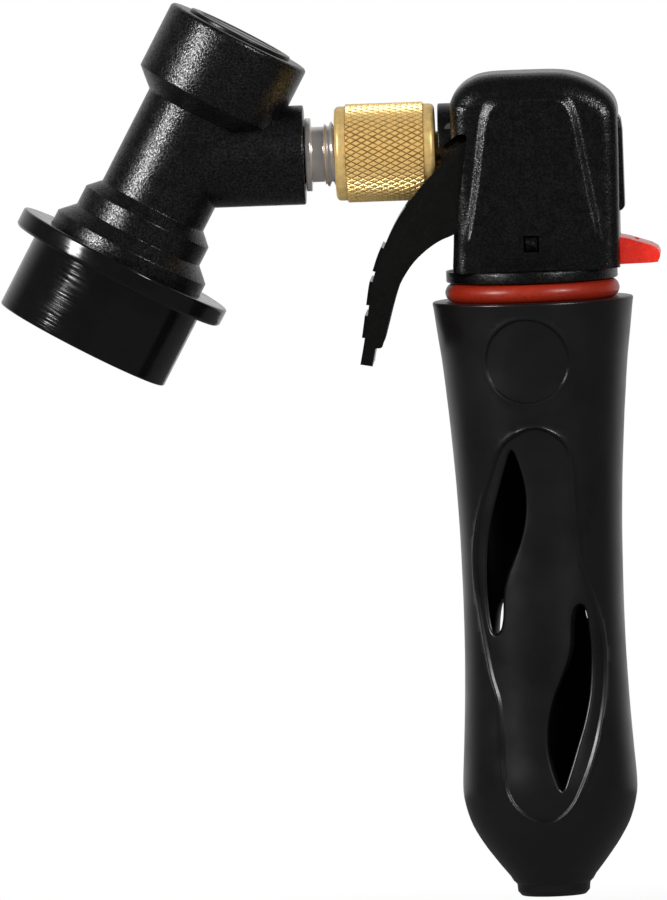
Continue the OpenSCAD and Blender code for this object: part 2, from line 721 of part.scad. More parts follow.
// Washer that closes the poppet's seat
module poppet_seal() {
    color("#303030") on_disconnect() difference() {
        translate([0, 0, chamber_low + seat_gap]) cylinder(d = poppet_head_d, h = seal_t);
        cylinder(d = poppet_pin_d + seat_gap, h = head_top);
    }
}

// Spring that closes the poppet
module poppet_spring() {
    low = poppet_head_top + seat_gap + poppet_wire / 2;
    high = plug_low - poppet_wire / 2;
    track = (poppet_head_d / 2 + poppet_head_d / 4) / 2 + poppet_wire / 2;
    echo("least gap in the poppet spring", coil_gap(low, high, poppet_turns, poppet_wire));
    color("#b9bcc0") on_disconnect() coil(track, poppet_wire, low, high, poppet_turns);
}

// Stainless flare fitting screwed into the port
module flare_fitting() {
    count = floor(flare_len / flare_pitch);
    depth = 0.6 * flare_pitch;
    crest = flare_d / 2;
    teeth = [for (i = [0:count - 1]) each [
        [crest, thread_start + (i + 0.15) * flare_pitch],
        [crest, thread_start + (i + 0.3) * flare_pitch],
        [crest - depth, thread_start + (i + 0.65) * flare_pitch],
        [crest - depth, thread_start + (i + 0.8) * flare_pitch]]];
    color("#c8c6c3") on_outlet() difference() {
        rotate_extrude() polygon(concat([[0, -stub_root_len],
            [stub_root_d / 2 - seat_gap, -stub_root_len], [stub_root_d / 2 - seat_gap, 0],
            [fitting_track(), 0], [fitting_track(), stub_gap], [stub_flange_d / 2, stub_gap],
            [stub_flange_d / 2, groove_start], [stub_groove_d / 2, groove_start],
            [stub_groove_d / 2, thread_start]], teeth, [[crest - depth, thread_end],
            [crest - depth - nose_len, nose_end], [0, nose_end]]));
        translate([0, 0, -stub_root_len - overrun])
            cylinder(d = gas_d, h = stub_root_len + nose_end + 2 * overrun);
    }
}

// radius under the ring that seals the fitting in the port's face
function fitting_track() = stub_root_d / 2 - 0.1 * stub_root_d;

// Ring between the fitting's root and the port
module fitting_ring() {
    color("#161616") on_outlet() difference() {
        translate([0, 0, seat_gap / 2]) cylinder(r = stub_root_d / 2 - seat_gap,
            h = stub_gap - seat_gap);
        translate([0, 0, -overrun]) cylinder(r = fitting_track() + seat_gap / 2, h = 3 * overrun);
    }
}

// Knurled nut that draws the handle onto the fitting
module knurled_nut() {
    plain_r = nut_d / 2 - nut_collar_drop;
    bore_r = flare_d / 2 + run_gap;
    color("#c59a45") on_outlet() rotate_extrude() polygon([
        [bore_r + edge, nut_start], [plain_r - nut_round, nut_start],
        [plain_r - nut_round / 4, nut_start + nut_round / 4], [plain_r, nut_start + nut_round],
        [plain_r, nut_start + nut_collar_len], [nut_d / 2, nut_start + nut_collar_len + edge],
        [nut_d / 2, nut_end - nut_collar_len - edge], [plain_r, nut_end - nut_collar_len],
        [plain_r, nut_end - nut_round], [plain_r - nut_round / 4, nut_end - nut_round / 4],
        [plain_r - nut_round, nut_end], [stem_d / 2 + run_gap, nut_end],
        [stem_d / 2 + run_gap, nut_wall_start], [bore_r, nut_wall_start],
        [bore_r, nut_start + edge]]);
}

// Swivelling stem that carries the gas from the handle's valve to the fitting
module outlet_stem() {
    head_start = thread_end + seat_gap + washer_t;
    tail = boss_face + boss_reach + stem_end_x;
    keeper_s = boss_face + boss_reach + keeper_x;
    groove_half = keeper_d / 2 + seat_gap;
    neck = keeper_z - outlet_h - keeper_d / 2 - seat_gap;
    ring_s = boss_face + boss_reach + stem_ring_x;
    ring_half = stem_ring_wire / 2 + seat_gap;
    ring_floor = stem_d / 2 - stem_ring_wire;
    hollow_r = nose_r() + seat_gap + washer_t;
    color("#b08a3e") on_outlet() difference() {
        rotate_extrude() polygon([[0, head_start], [stem_head_d / 2, head_start],
            [stem_head_d / 2, stem_head_end], [stem_d / 2, stem_head_end],
            [stem_d / 2, keeper_s - groove_half], [neck, keeper_s - groove_half],
            [neck, keeper_s + groove_half], [stem_d / 2, keeper_s + groove_half],
            [stem_d / 2, ring_s - ring_half], [ring_floor, ring_s - ring_half],
            [ring_floor, ring_s + ring_half], [stem_d / 2, ring_s + ring_half],
            [stem_d / 2, tail], [0, tail]]);
        translate([0, 0, head_start - overrun]) cylinder(r1 = hollow_r + overrun,
            r2 = hollow_r - nose_len - washer_t, h = nose_len + washer_t + overrun);
        translate([0, 0, head_start]) cylinder(d = stem_bore_d, h = tail);
    }
}

// radius of the fitting's cone where it leaves the thread
function nose_r() = flare_d / 2 - 0.6 * flare_pitch;

// Soft washer between the fitting's cone and the stem
module flare_washer() {
    start = thread_end + seat_gap;
    r = nose_r() + seat_gap;
    gap = washer_t - seat_gap;
    low = r - nose_len + clear_gap;
    color("#e9e6dc") on_outlet() rotate_extrude() polygon([[r, start], [r + gap, start],
        [r + gap, start + gap], [low, start + r + 2 * gap - low],
        [low, start + r + gap / 2 - low]]);
}

// Ring that seals the stem in the manifold
module stem_ring() {
    w = stem_ring_wire / 2;
    color("#161616") on_outlet(boss_face + boss_reach + stem_ring_x)
        wire_ring(stem_d / 2 - w, w - seat_gap / 2, 0);
}

// the manifold's outside: socket, upright, valve barrel and outlet, each larger by grow
module manifold_form(grow = 0) {
    translate([0, 0, -neck_len]) cylinder(r = manifold_low_d / 2 + grow, h = neck_len + post_low);
    translate([0, 0, post_low]) cylinder(r = manifold_post_d / 2 + grow,
        h = outlet_h + manifold_post_d / 2 - post_low);
    bar_x(manifold_valve_d / 2 + grow, tower_front, valve_end_x + grow, valve_h);
    bar_x(manifold_post_d / 2 + grow, -manifold_front, 0, outlet_h);
}

// Frame of the head: threaded neck, round flange, tower round the manifold and outlet collar
module head_frame() {
    tower_back = valve_end_x - edge;
    slot_top = fork_z + fork_t + clear_gap;
    color("#1a1a1b") on_handle() difference() {
        union() {
            translate([0, 0, ring_low]) cylinder(d = ring_d, h = ring_t);
            translate([0, 0, -neck_len]) cylinder(r = neck_ring_r, h = neck_len + ring_top);
            translate([0, 0, -neck_len]) cylinder(r = neck_r,
                h = neck_len - seal_r * 2 + seal_centre() - edge / 2);
            translate([tower_front, -tower_w / 2, ring_low])
                cube([tower_back - tower_front, tower_w, tower_top - ring_low]);
            bar_x(boss_r - boss_wall - tight_gap, -boss_reach + edge, tower_front + overrun, outlet_h);
            snap_lugs();
        }
        manifold_form(seat_gap);
        translate([fork_bar_x - slide_travel - clear_gap, -tower_w, ring_top])
            cube([tower_w, 2 * tower_w, fork_z + tab_h + side_gap - ring_top]);
        both_sides() translate([tower_front - overrun, fork_in - tight_gap, ring_top])
            cube([tower_back - tower_front + 2 * overrun, tower_w, slot_top - ring_top]);
        bar_x(stem_d / 2 + run_gap, -boss_reach - overrun, 0, outlet_h);
        translate([keeper_x, 0, keeper_z]) rotate([90, 0, 0])
            cylinder(r = keeper_d / 2 + seat_gap, h = 4 * boss_d, center = true);
        both_sides() pivot_pin(seat_gap, tower_w);
    }
}

// middle of the seal ring's height above the rim
function seal_centre() = ring_low - seal_r - seat_gap;

// the two lugs that hold the cover, shaped like its windows
module snap_lugs() {
    h = snap_h - 2 * clear_gap;
    both_sides() translate([snap_mid()[0] - snap_w / 2 + clear_gap, tower_w / 2 - overrun,
        snap_mid()[1] - h / 2])
        cube([snap_w - 2 * clear_gap, cover_w / 2 + panel_proud / 2 - tower_w / 2 + overrun, h]);
}

// the middle of a snap window, as x and z
function snap_mid() = [snap_shift_share * snap_w, cover_foot + snap_share * cover_h];

// one pivot pin, pushed into the tower's side and standing out through the arm
module pivot_pin(grow, far) {
    start = manifold_post_d / 2 + side_gap - grow;
    translate([-pivot_x, start, pivot_z]) rotate([-90, 0, 0])
        cylinder(r = pivot_d / 2 + grow, h = far - start);
}

// Pins that the trigger turns on, one in each side of the tower
module trigger_pivots() {
    color("#b9bcc0") on_handle() both_sides() pivot_pin(0, arm_out);
}

// Cover that snaps over the tower, with its raised side panels
module head_cover() {
    half = cover_w / 2;
    inner = half - cover_side_wall;
    color("#1b1b1c") on_handle() difference() {
        union() {
            intersection() {
                across(on_cover(cover_shares), -half, half);
                cover_section();
                cover_plan();
            }
            both_sides() cover_panel();
            translate([cover_back, -spine_w / 2, spine_low])
                cube([spine_proud + edge, spine_w, spine_top - spine_low]);
            bar_x(boss_r, -boss_reach, -cover_front + cover_wall, outlet_h);
        }
        across(on_cover(hollow_shares), -inner, inner);
        across(on_cover(slot_shares), -cover_w, cover_w);
        bar_x(boss_r - boss_wall, -boss_reach - overrun, 0, outlet_h);
        translate([-cover_front - overrun, -inner, valve_h - 2 * push_bar_d])
            cube([cover_wall + 2 * overrun, 2 * inner, 4 * push_bar_d]);
        both_sides() translate([-cover_front - overrun, arm_in - side_gap, cover_foot + sill_h])
            cube([cover_wall + 2 * overrun, arm_t + 2 * side_gap, cover_h / 3]);
        both_sides() translate([snap_mid()[0] - snap_w / 2, inner - overrun,
            snap_mid()[1] - snap_h / 2]) cube([snap_w, cover_w, snap_h]);
        translate([cover_back - cover_wall - overrun, -tab_w / 2 - clear_gap, ring_low])
            cube([2 * cover_wall + 2 * overrun, tab_w + 2 * clear_gap,
                fork_z + tab_h + clear_gap - ring_low]);
        translate([keeper_x, 0, keeper_z]) rotate([90, 0, 0])
            cylinder(r = keeper_d / 2 + seat_gap, h = 2 * keeper_half, center = true);
    }
}

// the cover's rounded cross section, looked at along x
module cover_section() {
    half = cover_w / 2;
    round_r = cover_top_round;
    translate([-2 * cover_front, 0, 0]) rotate([90, 0, 90]) linear_extrude(4 * cover_len) {
        translate([-half, cover_foot]) square([2 * half, cover_h - round_r]);
        translate([-half + round_r, cover_foot]) square([2 * (half - round_r), cover_h]);
        for (side = [-1, 1]) translate([side * (half - round_r), cover_top - round_r])
            circle(r = round_r);
    }
}

// the cover's rounded plan, looked at from above
module cover_plan() {
    half = cover_w / 2;
    round_r = cover_corner_round;
    back = cover_back + 0.02 * cover_len;
    linear_extrude(cover_top + overrun) {
        translate([-cover_front - overrun, -half + round_r])
            square([back + cover_front + overrun, 2 * (half - round_r)]);
        translate([-cover_front + round_r, -half])
            square([back + cover_front - 2 * round_r, 2 * half]);
        for (x = [-cover_front + round_r, back - round_r], side = [-1, 1])
            translate([x, side * (half - round_r)]) circle(r = round_r);
    }
}

// one raised side panel with sloped borders
module cover_panel() {
    half = cover_w / 2;
    skin = edge / 4;
    hull() {
        across(on_cover(panel_foot_shares), half - edge, half);
        across(on_cover(panel_face_shares), half + panel_proud - skin, half + panel_proud);
    }
}

// Brass manifold: threaded cartridge socket, gas passages and valve chamber
module valve_manifold() {
    color("#b8954c") on_handle() difference() {
        manifold_form();
        translate([0, 0, -neck_len - overrun])
            cylinder(d = cartridge_neck_d, h = socket_thread + overrun);
        translate([0, 0, -neck_len + socket_thread])
            cylinder(r = cartridge_neck_d / 2 + socket_relief,
                h = socket_top + neck_len - socket_thread);
        cylinder(d = pierce_d, h = gas_room_top);
        translate([0, 0, gas_room_low]) cylinder(d = gas_room_d, h = gas_room_top - gas_room_low);
        translate([gas_room_d / 3, 0, gas_room_top - overrun])
            cylinder(d = valve_stem_d * 0.8, h = valve_h - gas_room_top + overrun);
        translate([cross_x, 0, valve_h])
            cylinder(d = valve_stem_d * 0.8, h = outlet_h - valve_h);
        bar_x(valve_stem_d / 2 + run_gap, tower_front - overrun, valve_seat_x, valve_h);
        bar_x(valve_stem_d / 2 + gland_wire, gland_x, gland_x + gland_wire + 2 * seat_gap,
            valve_h);
        bar_x(valve_stem_d * 0.65, valve_seat_x - seat_bore_len, valve_seat_x + overrun,
            valve_h);
        bar_x(valve_chamber_d / 2, valve_seat_x, plug_x + overrun, valve_h);
        bar_x(valve_chamber_d / 2 + edge, plug_x, valve_end_x + overrun, valve_h);
        bar_x(stem_d / 2 + run_gap, -boss_reach, stem_end_x + edge, outlet_h);
        bar_x(stem_bore_d / 2, stem_end_x, cross_x + stem_bore_d / 3, outlet_h);
    }
}

// Pin through the outlet collar that keeps the stem in
module stem_keeper_pin() {
    color("#b9bcc0") on_handle() translate([keeper_x, 0, keeper_z]) rotate([90, 0, 0])
        cylinder(d = keeper_d, h = 2 * (keeper_half - seat_gap), center = true);
}

// Hollow pin that pierces the cartridge
module piercing_pin() {
    color("#c9ccd0") on_handle() difference() {
        union() {
            translate([0, 0, pierce_low + pierce_d / 2]) cylinder(
                r = pierce_d / 2 - seat_gap / 2, h = gas_room_low - pierce_low - pierce_d / 2);
            translate([0, 0, pierce_low]) cylinder(r1 = pierce_d / 5,
                r2 = pierce_d / 2 - seat_gap / 2, h = pierce_d / 2);
        }
        translate([0, 0, pierce_low - overrun]) cylinder(d = pierce_d / 3, h = gas_room_top);
    }
}

// Washer that seals the cartridge's neck
module cartridge_seal() {
    color("#303030") on_handle() difference() {
        translate([0, 0, socket_top - seal_disc_t - seat_gap])
            cylinder(r = cartridge_neck_d / 2 + socket_relief - seat_gap, h = seal_disc_t);
        translate([0, 0, -neck_len]) cylinder(d = pierce_d + seat_gap, h = 2 * neck_len);
    }
}

// Sintered disc that keeps dirt out of the valve
module gas_filter() {
    color("#9a7f4b") on_handle() translate([0, 0, gas_room_low + seat_gap])
        cylinder(r = gas_room_d / 2 - seat_gap, h = (gas_room_top - gas_room_low) / 2);
}

// Stem that the trigger pushes to open the valve
module valve_stem() {
    shank_end = valve_seat_x - seat_bore_len - side_gap;
    color("#c9ccd0") on_handle() {
        bar_x(valve_stem_d / 2, stem_tip_x, shank_end, valve_h);
        bar_x(valve_stem_d * 0.32, shank_end - edge, valve_head_x + edge, valve_h);
        bar_x(valve_head_d / 2, valve_head_x, valve_head_x + valve_head_t, valve_h);
    }
}

// Washer on the valve stem that closes the seat
module valve_seal() {
    color("#303030") on_handle() difference() {
        bar_x(valve_head_d / 2, valve_seat_x + seat_gap, valve_head_x, valve_h);
        bar_x(valve_stem_d * 0.32 + seat_gap / 2, valve_seat_x, valve_end_x, valve_h);
    }
}

// Ring that seals round the valve stem
module valve_stem_ring() {
    w = gland_wire / 2 - seat_gap;
    color("#161616") on_handle()
        translate([gland_x + gland_wire / 2 + seat_gap, 0, valve_h]) rotate([0, 90, 0])
            wire_ring(valve_stem_d / 2 + run_gap + w, w, 0);
}

// Spring that closes the valve
module valve_spring() {
    low = valve_head_x + valve_head_t + seat_gap + valve_wire / 2;
    high = plug_x - seat_gap - valve_wire / 2;
    track = valve_chamber_d / 2 - valve_wire / 2 - edge;
    echo("least gap in the valve spring", coil_gap(low, high, valve_turns, valve_wire));
    color("#b9bcc0") on_handle() translate([0, 0, valve_h]) rotate([0, 90, 0])
        coil(track, valve_wire, low, high, valve_turns);
}

// Screwed plug behind the valve spring
module valve_plug() {
    color("#b8954c") on_handle() difference() {
        bar_x(valve_chamber_d / 2 + edge - seat_gap, plug_x + seat_gap, valve_end_x, valve_h);
        translate([valve_end_x - coin_slot_deep / 2, -coin_slot_w / 4, valve_h - valve_chamber_d])
            cube([coin_slot_deep, coin_slot_w / 2, 2 * valve_chamber_d]);
    }
}

// Trigger: two arms, a finger plate with grip pads and the bar that pushes the valve stem
module trigger() {
    outer = on_trigger(trigger_edge_shares);
    inner = on_trigger(trigger_inner_shares);
    last = len(outer) - 1;
    plate_outer = [for (i = [plate_from:last]) outer[i]];
    plate_inner = [for (i = [last:-1:plate_from]) outer[i] + plate_t * inward(outer, i)];
    hub_r = pivot_d / 2 + hub_wall;
    color("#191917") on_handle() difference() {
        union() {
            both_sides() {
                across(concat(outer, inner), arm_in, arm_out);
                translate([-pivot_x, arm_in, pivot_z]) rotate([-90, 0, 0])
                    cylinder(r = hub_r, h = arm_t);
            }
            across(concat(plate_outer, plate_inner), -arm_in - edge, arm_in + edge);
            for (p = pad_shares) grip_pad(p);
            translate([push_x, 0, valve_h]) rotate([90, 0, 0])
                cylinder(d = push_bar_d, h = 2 * arm_in + edge, center = true);
        }
        both_sides() translate([-pivot_x, arm_in - overrun, pivot_z]) rotate([-90, 0, 0])
            cylinder(r = pivot_d / 2 + run_gap, h = arm_t + 2 * overrun);
    }
}

// unit vector from the trigger's outer edge into the plate, at a point of that edge
function inward(p, i) = let(a = p[max(i - 1, 0)], b = p[min(i + 1, len(p) - 1)], d = b - a)
    [-d[1], d[0]] / norm(d);

// point on the trigger's outer edge at a share of its drop
function edge_at(s) = let(z = pivot_z - s * trigger_drop)
    [lookup(z, [for (p = on_trigger(trigger_edge_shares)) [p[1], p[0]]]), z];

// one grip pad on the finger plate, between two shares of the drop
module grip_pad(span) {
    a = edge_at(span[0]);
    b = edge_at(span[1]);
    n = [-(b - a)[1], (b - a)[0]] / norm(b - a);
    across([a - pad_proud * n, b - pad_proud * n, b + plate_t / 2 * n, a + plate_t / 2 * n],
        -arm_out + edge, arm_out - edge);
}

// Red slide: a fork round the manifold and the tab that the thumb moves
module safety_slide() {
    tab = [for (s = tab_shares)
        [cover_back - tight_gap + s[0] * tab_len, fork_z + s[1] * tab_h]];
    color("#e02a20") on_handle() {
        across(tab, -tab_w / 2, tab_w / 2);
        translate([fork_bar_x, -fork_out, fork_z]) cube([fork_bar, 2 * fork_out, fork_t]);
        both_sides() translate([-fork_reach, fork_in, fork_z])
            cube([fork_reach + fork_bar_x + edge, fork_out - fork_in, fork_t]);
        both_sides() translate([-fork_reach, fork_in, fork_z])
            cube([fork_t, arm_out - fork_in, fork_t]);
    }
}

// Soft ring that seals the barrel against the head's flange
module seal_ring() {
    color("#b93a1e") on_handle() wire_ring(seal_track, seal_r, seal_centre());
}

// the barrel's outside, drawn in all round by some depth
module barrel_form(sunk = 0) {
    rotate_extrude($fn = 96) polygon(concat([[0, -barrel_len + sunk], [0, 0]],
        [for (s = barrel_shares) [s[1] * rim_r - sunk, -s[0] * (barrel_len - sunk)]]));
}

// one face's outline cut straight through the wall, turned a half turn about the band's middle
module through_face(shares, steps, half_turn = false) {
    mid = on_barrel([band_mid_shares])[0];
    points = curve(on_barrel(shares), steps);
    turned = half_turn ? [for (p = points) 2 * mid - p] : points;
    across(turned, -rim_d, 0);
}

// Barrel that the hand grips, with its windows, bands and round recesses
module barrel() {
    color("#1b1a1b") on_handle() rotate([0, 0, -pattern_turn]) difference() {
        barrel_form();
        for (turn = [0, 180]) rotate([0, 0, turn]) {
            through_face(window_shares, 2);
            through_face(window_shares, 2, true);
            difference() {
                through_face(band_shares, 2);
                barrel_form(band_deep);
            }
            difference() {
                translate([badge_shift_share * rim_r, 0, -badge_share * barrel_len])
                    rotate([90, 0, 0]) cylinder(d = badge_d, h = rim_d);
                barrel_form(badge_deep);
            }
        }
        barrel_bores();
    }
}

// everything bored into the barrel from its rim
module barrel_bores() {
    rotate_extrude() polygon([[0, overrun], [chamfer_r + overrun, overrun],
        [thread_bore_r, -chamfer_deep], [thread_bore_r, -thread_room], [bay_r, -thread_room],
        [bay_r, -bay_depth], [foot_bore_r, -foot_bore_top], [foot_bore_r, -floor_depth],
        [0, -floor_depth]]);
}

// Soft pad that the cartridge's end rests on
module cartridge_rest() {
    color("#3a3a3c") on_handle() translate([0, 0, -floor_depth + 2 * seat_gap])
        cylinder(d = pad_d, h = pad_t);
}

disconnect_body();
disconnect_cap();
cap_ring();
release_collar();
collar_spring();
lock_ball_1();
lock_ball_2();
lock_ball_3();
poppet();
poppet_seal();
poppet_spring();
flare_fitting();
fitting_ring();
knurled_nut();
outlet_stem();
flare_washer();
stem_ring();
head_frame();
head_cover();
valve_manifold();
stem_keeper_pin();
piercing_pin();
cartridge_seal();
gas_filter();
valve_stem();
valve_seal();
valve_stem_ring();
valve_spring();
valve_plug();
trigger();
trigger_pivots();
safety_slide();
seal_ring();
barrel();
cartridge_rest();
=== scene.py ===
import json
import math

import bpy
import numpy as np
from mathutils import Matrix, Vector
from mathutils.geometry import delaunay_2d_cdt


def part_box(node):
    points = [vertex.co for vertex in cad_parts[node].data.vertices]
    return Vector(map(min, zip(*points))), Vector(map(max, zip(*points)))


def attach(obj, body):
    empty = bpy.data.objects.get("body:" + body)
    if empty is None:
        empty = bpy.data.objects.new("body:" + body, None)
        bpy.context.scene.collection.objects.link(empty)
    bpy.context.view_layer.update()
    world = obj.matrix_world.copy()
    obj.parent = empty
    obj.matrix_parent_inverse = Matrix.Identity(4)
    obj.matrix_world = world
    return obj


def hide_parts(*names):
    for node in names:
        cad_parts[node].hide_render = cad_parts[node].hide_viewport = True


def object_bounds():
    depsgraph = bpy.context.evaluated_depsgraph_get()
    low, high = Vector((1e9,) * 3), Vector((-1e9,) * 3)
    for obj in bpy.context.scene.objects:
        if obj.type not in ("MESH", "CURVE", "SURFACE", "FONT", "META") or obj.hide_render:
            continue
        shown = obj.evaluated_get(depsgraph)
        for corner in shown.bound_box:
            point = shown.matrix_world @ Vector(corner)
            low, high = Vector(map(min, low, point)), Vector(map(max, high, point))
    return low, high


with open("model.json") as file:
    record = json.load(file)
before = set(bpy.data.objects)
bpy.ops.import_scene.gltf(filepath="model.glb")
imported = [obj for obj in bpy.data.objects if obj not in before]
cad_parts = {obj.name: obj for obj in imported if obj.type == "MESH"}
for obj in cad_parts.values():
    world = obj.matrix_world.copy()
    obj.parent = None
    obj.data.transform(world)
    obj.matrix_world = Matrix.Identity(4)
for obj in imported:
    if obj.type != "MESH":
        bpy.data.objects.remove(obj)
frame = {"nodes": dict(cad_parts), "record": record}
cad_box = [[round(c, 6) for c in corner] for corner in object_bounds()]

bl_info = {
    "name": "Keg gas charger",
    "version": (1, 0, 0),
    "blender": (4, 5, 0),
    "location": "View3D > Sidebar > Charger",
    "description": "Dresses the solids of a hand-held keg gas charger",
    "category": "Object",
}

MM = 0.001
# Distance from the port's face to the nut's near end
NUT_START = 5.3
# Height of the outlet's axis above the barrel's rim
OUTLET_HEIGHT = 26.05
# The trigger's pivot: place along the handle's front and height above the barrel's rim
PIVOT = (-6.4, 25.7)

# Places, read from the solids: the handle's axis at the barrel's rim, the outlet's axis at the
# port's face, and the disconnect's axis at the seat of the keg's post
rim_low, rim_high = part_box("barrel")
nut_low, nut_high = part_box("knurled_nut")
tilt = [-c for c in next(m for m in frame["record"]["mounts"]
                         if m["name"] == "keg_post_socket")["axis"]]
LEAN = math.atan2(tilt[0], tilt[2])
ON_HANDLE = Matrix.Translation(((rim_low.x + rim_high.x) / 2, 0, rim_high.z))
ON_OUTLET = (Matrix.Translation((nut_low.x - NUT_START * MM, 0, (nut_low.z + nut_high.z) / 2))
             @ Matrix.Rotation(math.pi / 2, 4, "Y"))
ON_DISCONNECT = Matrix.Rotation(LEAN, 4, "Y")

# The barrel's outside: depth below the rim and radius
GRIP = [(0, 17.35), (1.2, 17.12), (2.9, 16.92), (6.4, 16.48), (9.8, 16.03), (13.2, 15.68),
        (16.7, 15.37), (20, 15.08), (25.3, 14.7), (28.7, 14.47), (32, 14.28), (39, 14.0),
        (46, 13.86), (53, 13.81), (60, 13.87), (63, 13.95), (70, 14.22), (77, 14.62),
        (80, 14.82), (82.5, 14.97), (84.2, 15.0), (85.5, 14.9), (87.2, 14.56), (88.9, 14.08),
        (90.6, 13.42), (92.3, 12.5), (94.1, 11.37), (95.8, 10.15), (97.5, 8.86), (99.2, 7.5),
        (100.2, 6.7)]
# The S-shaped band on one face of the barrel: place across and depth below the rim
BAND = [(1, -21.6), (5.85, -24.4), (6.65, -29), (6.85, -34), (7.05, -39), (7.5, -44.5),
        (8.8, -49), (10.1, -53.5), (10.95, -58), (11.1, -63), (10.75, -68.5), (9.9, -73.5),
        (8.6, -78.5), (6.9, -83), (4.6, -87), (1, -89.3), (-3.2, -87.9), (-5.9, -84.6),
        (-6.55, -80), (-6.7, -74), (-7.15, -68.5), (-8.4, -64), (-9.35, -59), (-10.2, -54),
        (-10.9, -48), (-10.9, -43), (-10.2, -38.5), (-9.1, -34.5), (-7.3, -29.8),
        (-4.6, -24.2)]
# The upper window in that band
WINDOW = [(-3.5, -25.2), (-1.95, -29), (-1.25, -33), (-1.5, -37.2), (-2.5, -41),
          (-3.9, -44.3), (-5.1, -47), (-5.9, -50), (-6.15, -54), (-6.7, -56.3), (-7.8, -57),
          (-8.7, -56.1), (-9.25, -53), (-9.5, -48), (-9.1, -42), (-8, -37), (-6.6, -32.8),
          (-4.9, -28)]
# The band's middle, about which the lower window is the upper one turned by half a turn
BAND_MIDDLE = (0, -54.6)
# The round recess: its middle and its radius
BADGE = (0, -10, 7.2)

# The head cover's outline seen from the side, from its front foot over the top to the back
COVER = [(-13.75, -1), (-13.4, 5.3), (-13.0, 12), (-12.85, 20), (-12.9, 27), (-13, 33.2),
         (-12.75, 34.7), (-12.2, 35.75), (-11.5, 36.6), (-10.5, 37.5), (-9.3, 38.2),
         (-8, 38.72), (-6, 39.05), (-3.5, 39.13), (0, 39.13), (4, 39.1), (6.5, 38.92),
         (8.3, 38.55), (10, 37.95), (11.7, 37.1), (13.2, 36.1), (14.4, 35.05), (15.2, 33.9),
         (15.6, 32.7), (15.72, 31.2), (15.7, 26), (15.6, 20), (15.45, 13), (15.35, 5.3),
         (15.3, -1)]
# The raised side panel, matched point by point: its flat face and its foot
PANEL_FACE = [(-10, 10.45), (-5, 10.4), (0, 10.4), (5, 10.4), (10.6, 10.45), (11.1, 12.2),
              (10.4, 16), (9.6, 21), (8.7, 26), (7.9, 30.4), (6.9, 33.2), (4.8, 34.4),
              (0, 34.7), (-3.6, 34.4), (-5.4, 33.2), (-6.4, 31), (-7.2, 27), (-7.9, 22),
              (-8.8, 17), (-9.7, 12.4)]
PANEL_FOOT = [(-11.3, 8.9), (-6.4, 6.4), (0, 5.75), (6.2, 6.3), (12.1, 8.8), (12.5, 11.6),
              (11.75, 16), (10.95, 21), (10.1, 26), (9.35, 30.9), (8.1, 34.4), (5.3, 35.85),
              (0, 36.1), (-4.7, 35.85), (-6.9, 34.6), (-8, 32), (-8.8, 27), (-9.5, 21.6),
              (-10.35, 16.4), (-11.3, 11.6)]
# The opening at the cover's front that the trigger's arms run in
SLOT = [(-20, 12.05), (-12.6, 12.05), (-10.15, 28.5), (-10.25, 28.95), (-10.6, 29.15),
        (-11.4, 29.15), (-12.3, 28.75), (-13.1, 28.0), (-14.3, 27.2), (-15.3, 26.75),
        (-20, 26.4)]
# The trigger's outer edge from its pivot down to its tip, and its inner edge back up
TRIGGER_OUTER = [(-7.5, 29.1), (-10, 28.2), (-12, 26.35), (-15, 23.65), (-18, 20.7),
                 (-20, 18.35), (-21.5, 16.45), (-22.8, 14.5), (-24, 12.35), (-25, 10.25),
                 (-25.8, 8.45), (-26.5, 6.5), (-27.3, 4), (-28, 0), (-28.65, -4),
                 (-29.2, -7), (-29.8, -9.8)]
TRIGGER_INNER = [(-27.7, -10.2), (-27.3, -7.4), (-26.2, -7.1), (-25.75, -6.5), (-25, -4),
                 (-24, -0.5), (-23, 2.5), (-22, 4.6), (-20.5, 6.8), (-19, 8.4), (-17, 10),
                 (-15, 11.15), (-12.9, 12), (-8.6, 14.6), (-4.2, 21), (-3.2, 24.4),
                 (-4.2, 27.6)]
# The red tab seen from the side
TAB = [(13.3, 5.65), (20.6, 5.75), (21.8, 5.85), (22.15, 6.6), (22.25, 7.2), (21.9, 8.1),
       (20.8, 8.75), (19, 9.35), (17, 10), (15.4, 10.35), (13.3, 10.4)]


def linear(hex_colour):
    """An sRGB hex colour as linear red, green, blue and alpha."""
    parts = [int(hex_colour[i:i + 2], 16) / 255 for i in (1, 3, 5)]
    return [c / 12.92 if c <= 0.04045 else ((c + 0.055) / 1.055) ** 2.4 for c in parts] + [1]


def tint(name, hex_colour, words):
    """A colour that the panel shows."""
    return bpy.props.FloatVectorProperty(name=name, description=words, subtype="COLOR", size=4,
                                         min=0, max=1, default=linear(hex_colour))


def length(name, value, words):
    """A length that the panel shows, given in millimetres."""
    return bpy.props.FloatProperty(name=name, description=words, default=value * MM, min=0,
                                   unit="LENGTH", precision=5)


class ChargerSizes(bpy.types.PropertyGroup):
    """Sizes of the dressed pieces that the solids leave plain"""
    band_depth: length("Band depth", 0.55, "Depth of the S-shaped bands in the barrel")
    badge_depth: length("Recess depth", 0.42, "Depth of the bare round recess")
    lip_round: length("Window lip", 0.5, "Rounding of the windows' edges")
    panel_height: length("Panel height", 0.8, "How far the cover's side panels stand out")
    cover_wall: length("Cover wall", 1.1, "Wall of the head cover")
    knurl_height: length("Knurl height", 0.3, "Height of the knurl's diamonds")
    edge_round: length("Edge rounding", 0.4, "Rounding of the trigger's and the tab's edges")
    floor_drop: length("Floor drop", 30, "Height of the lowest point above the floor")


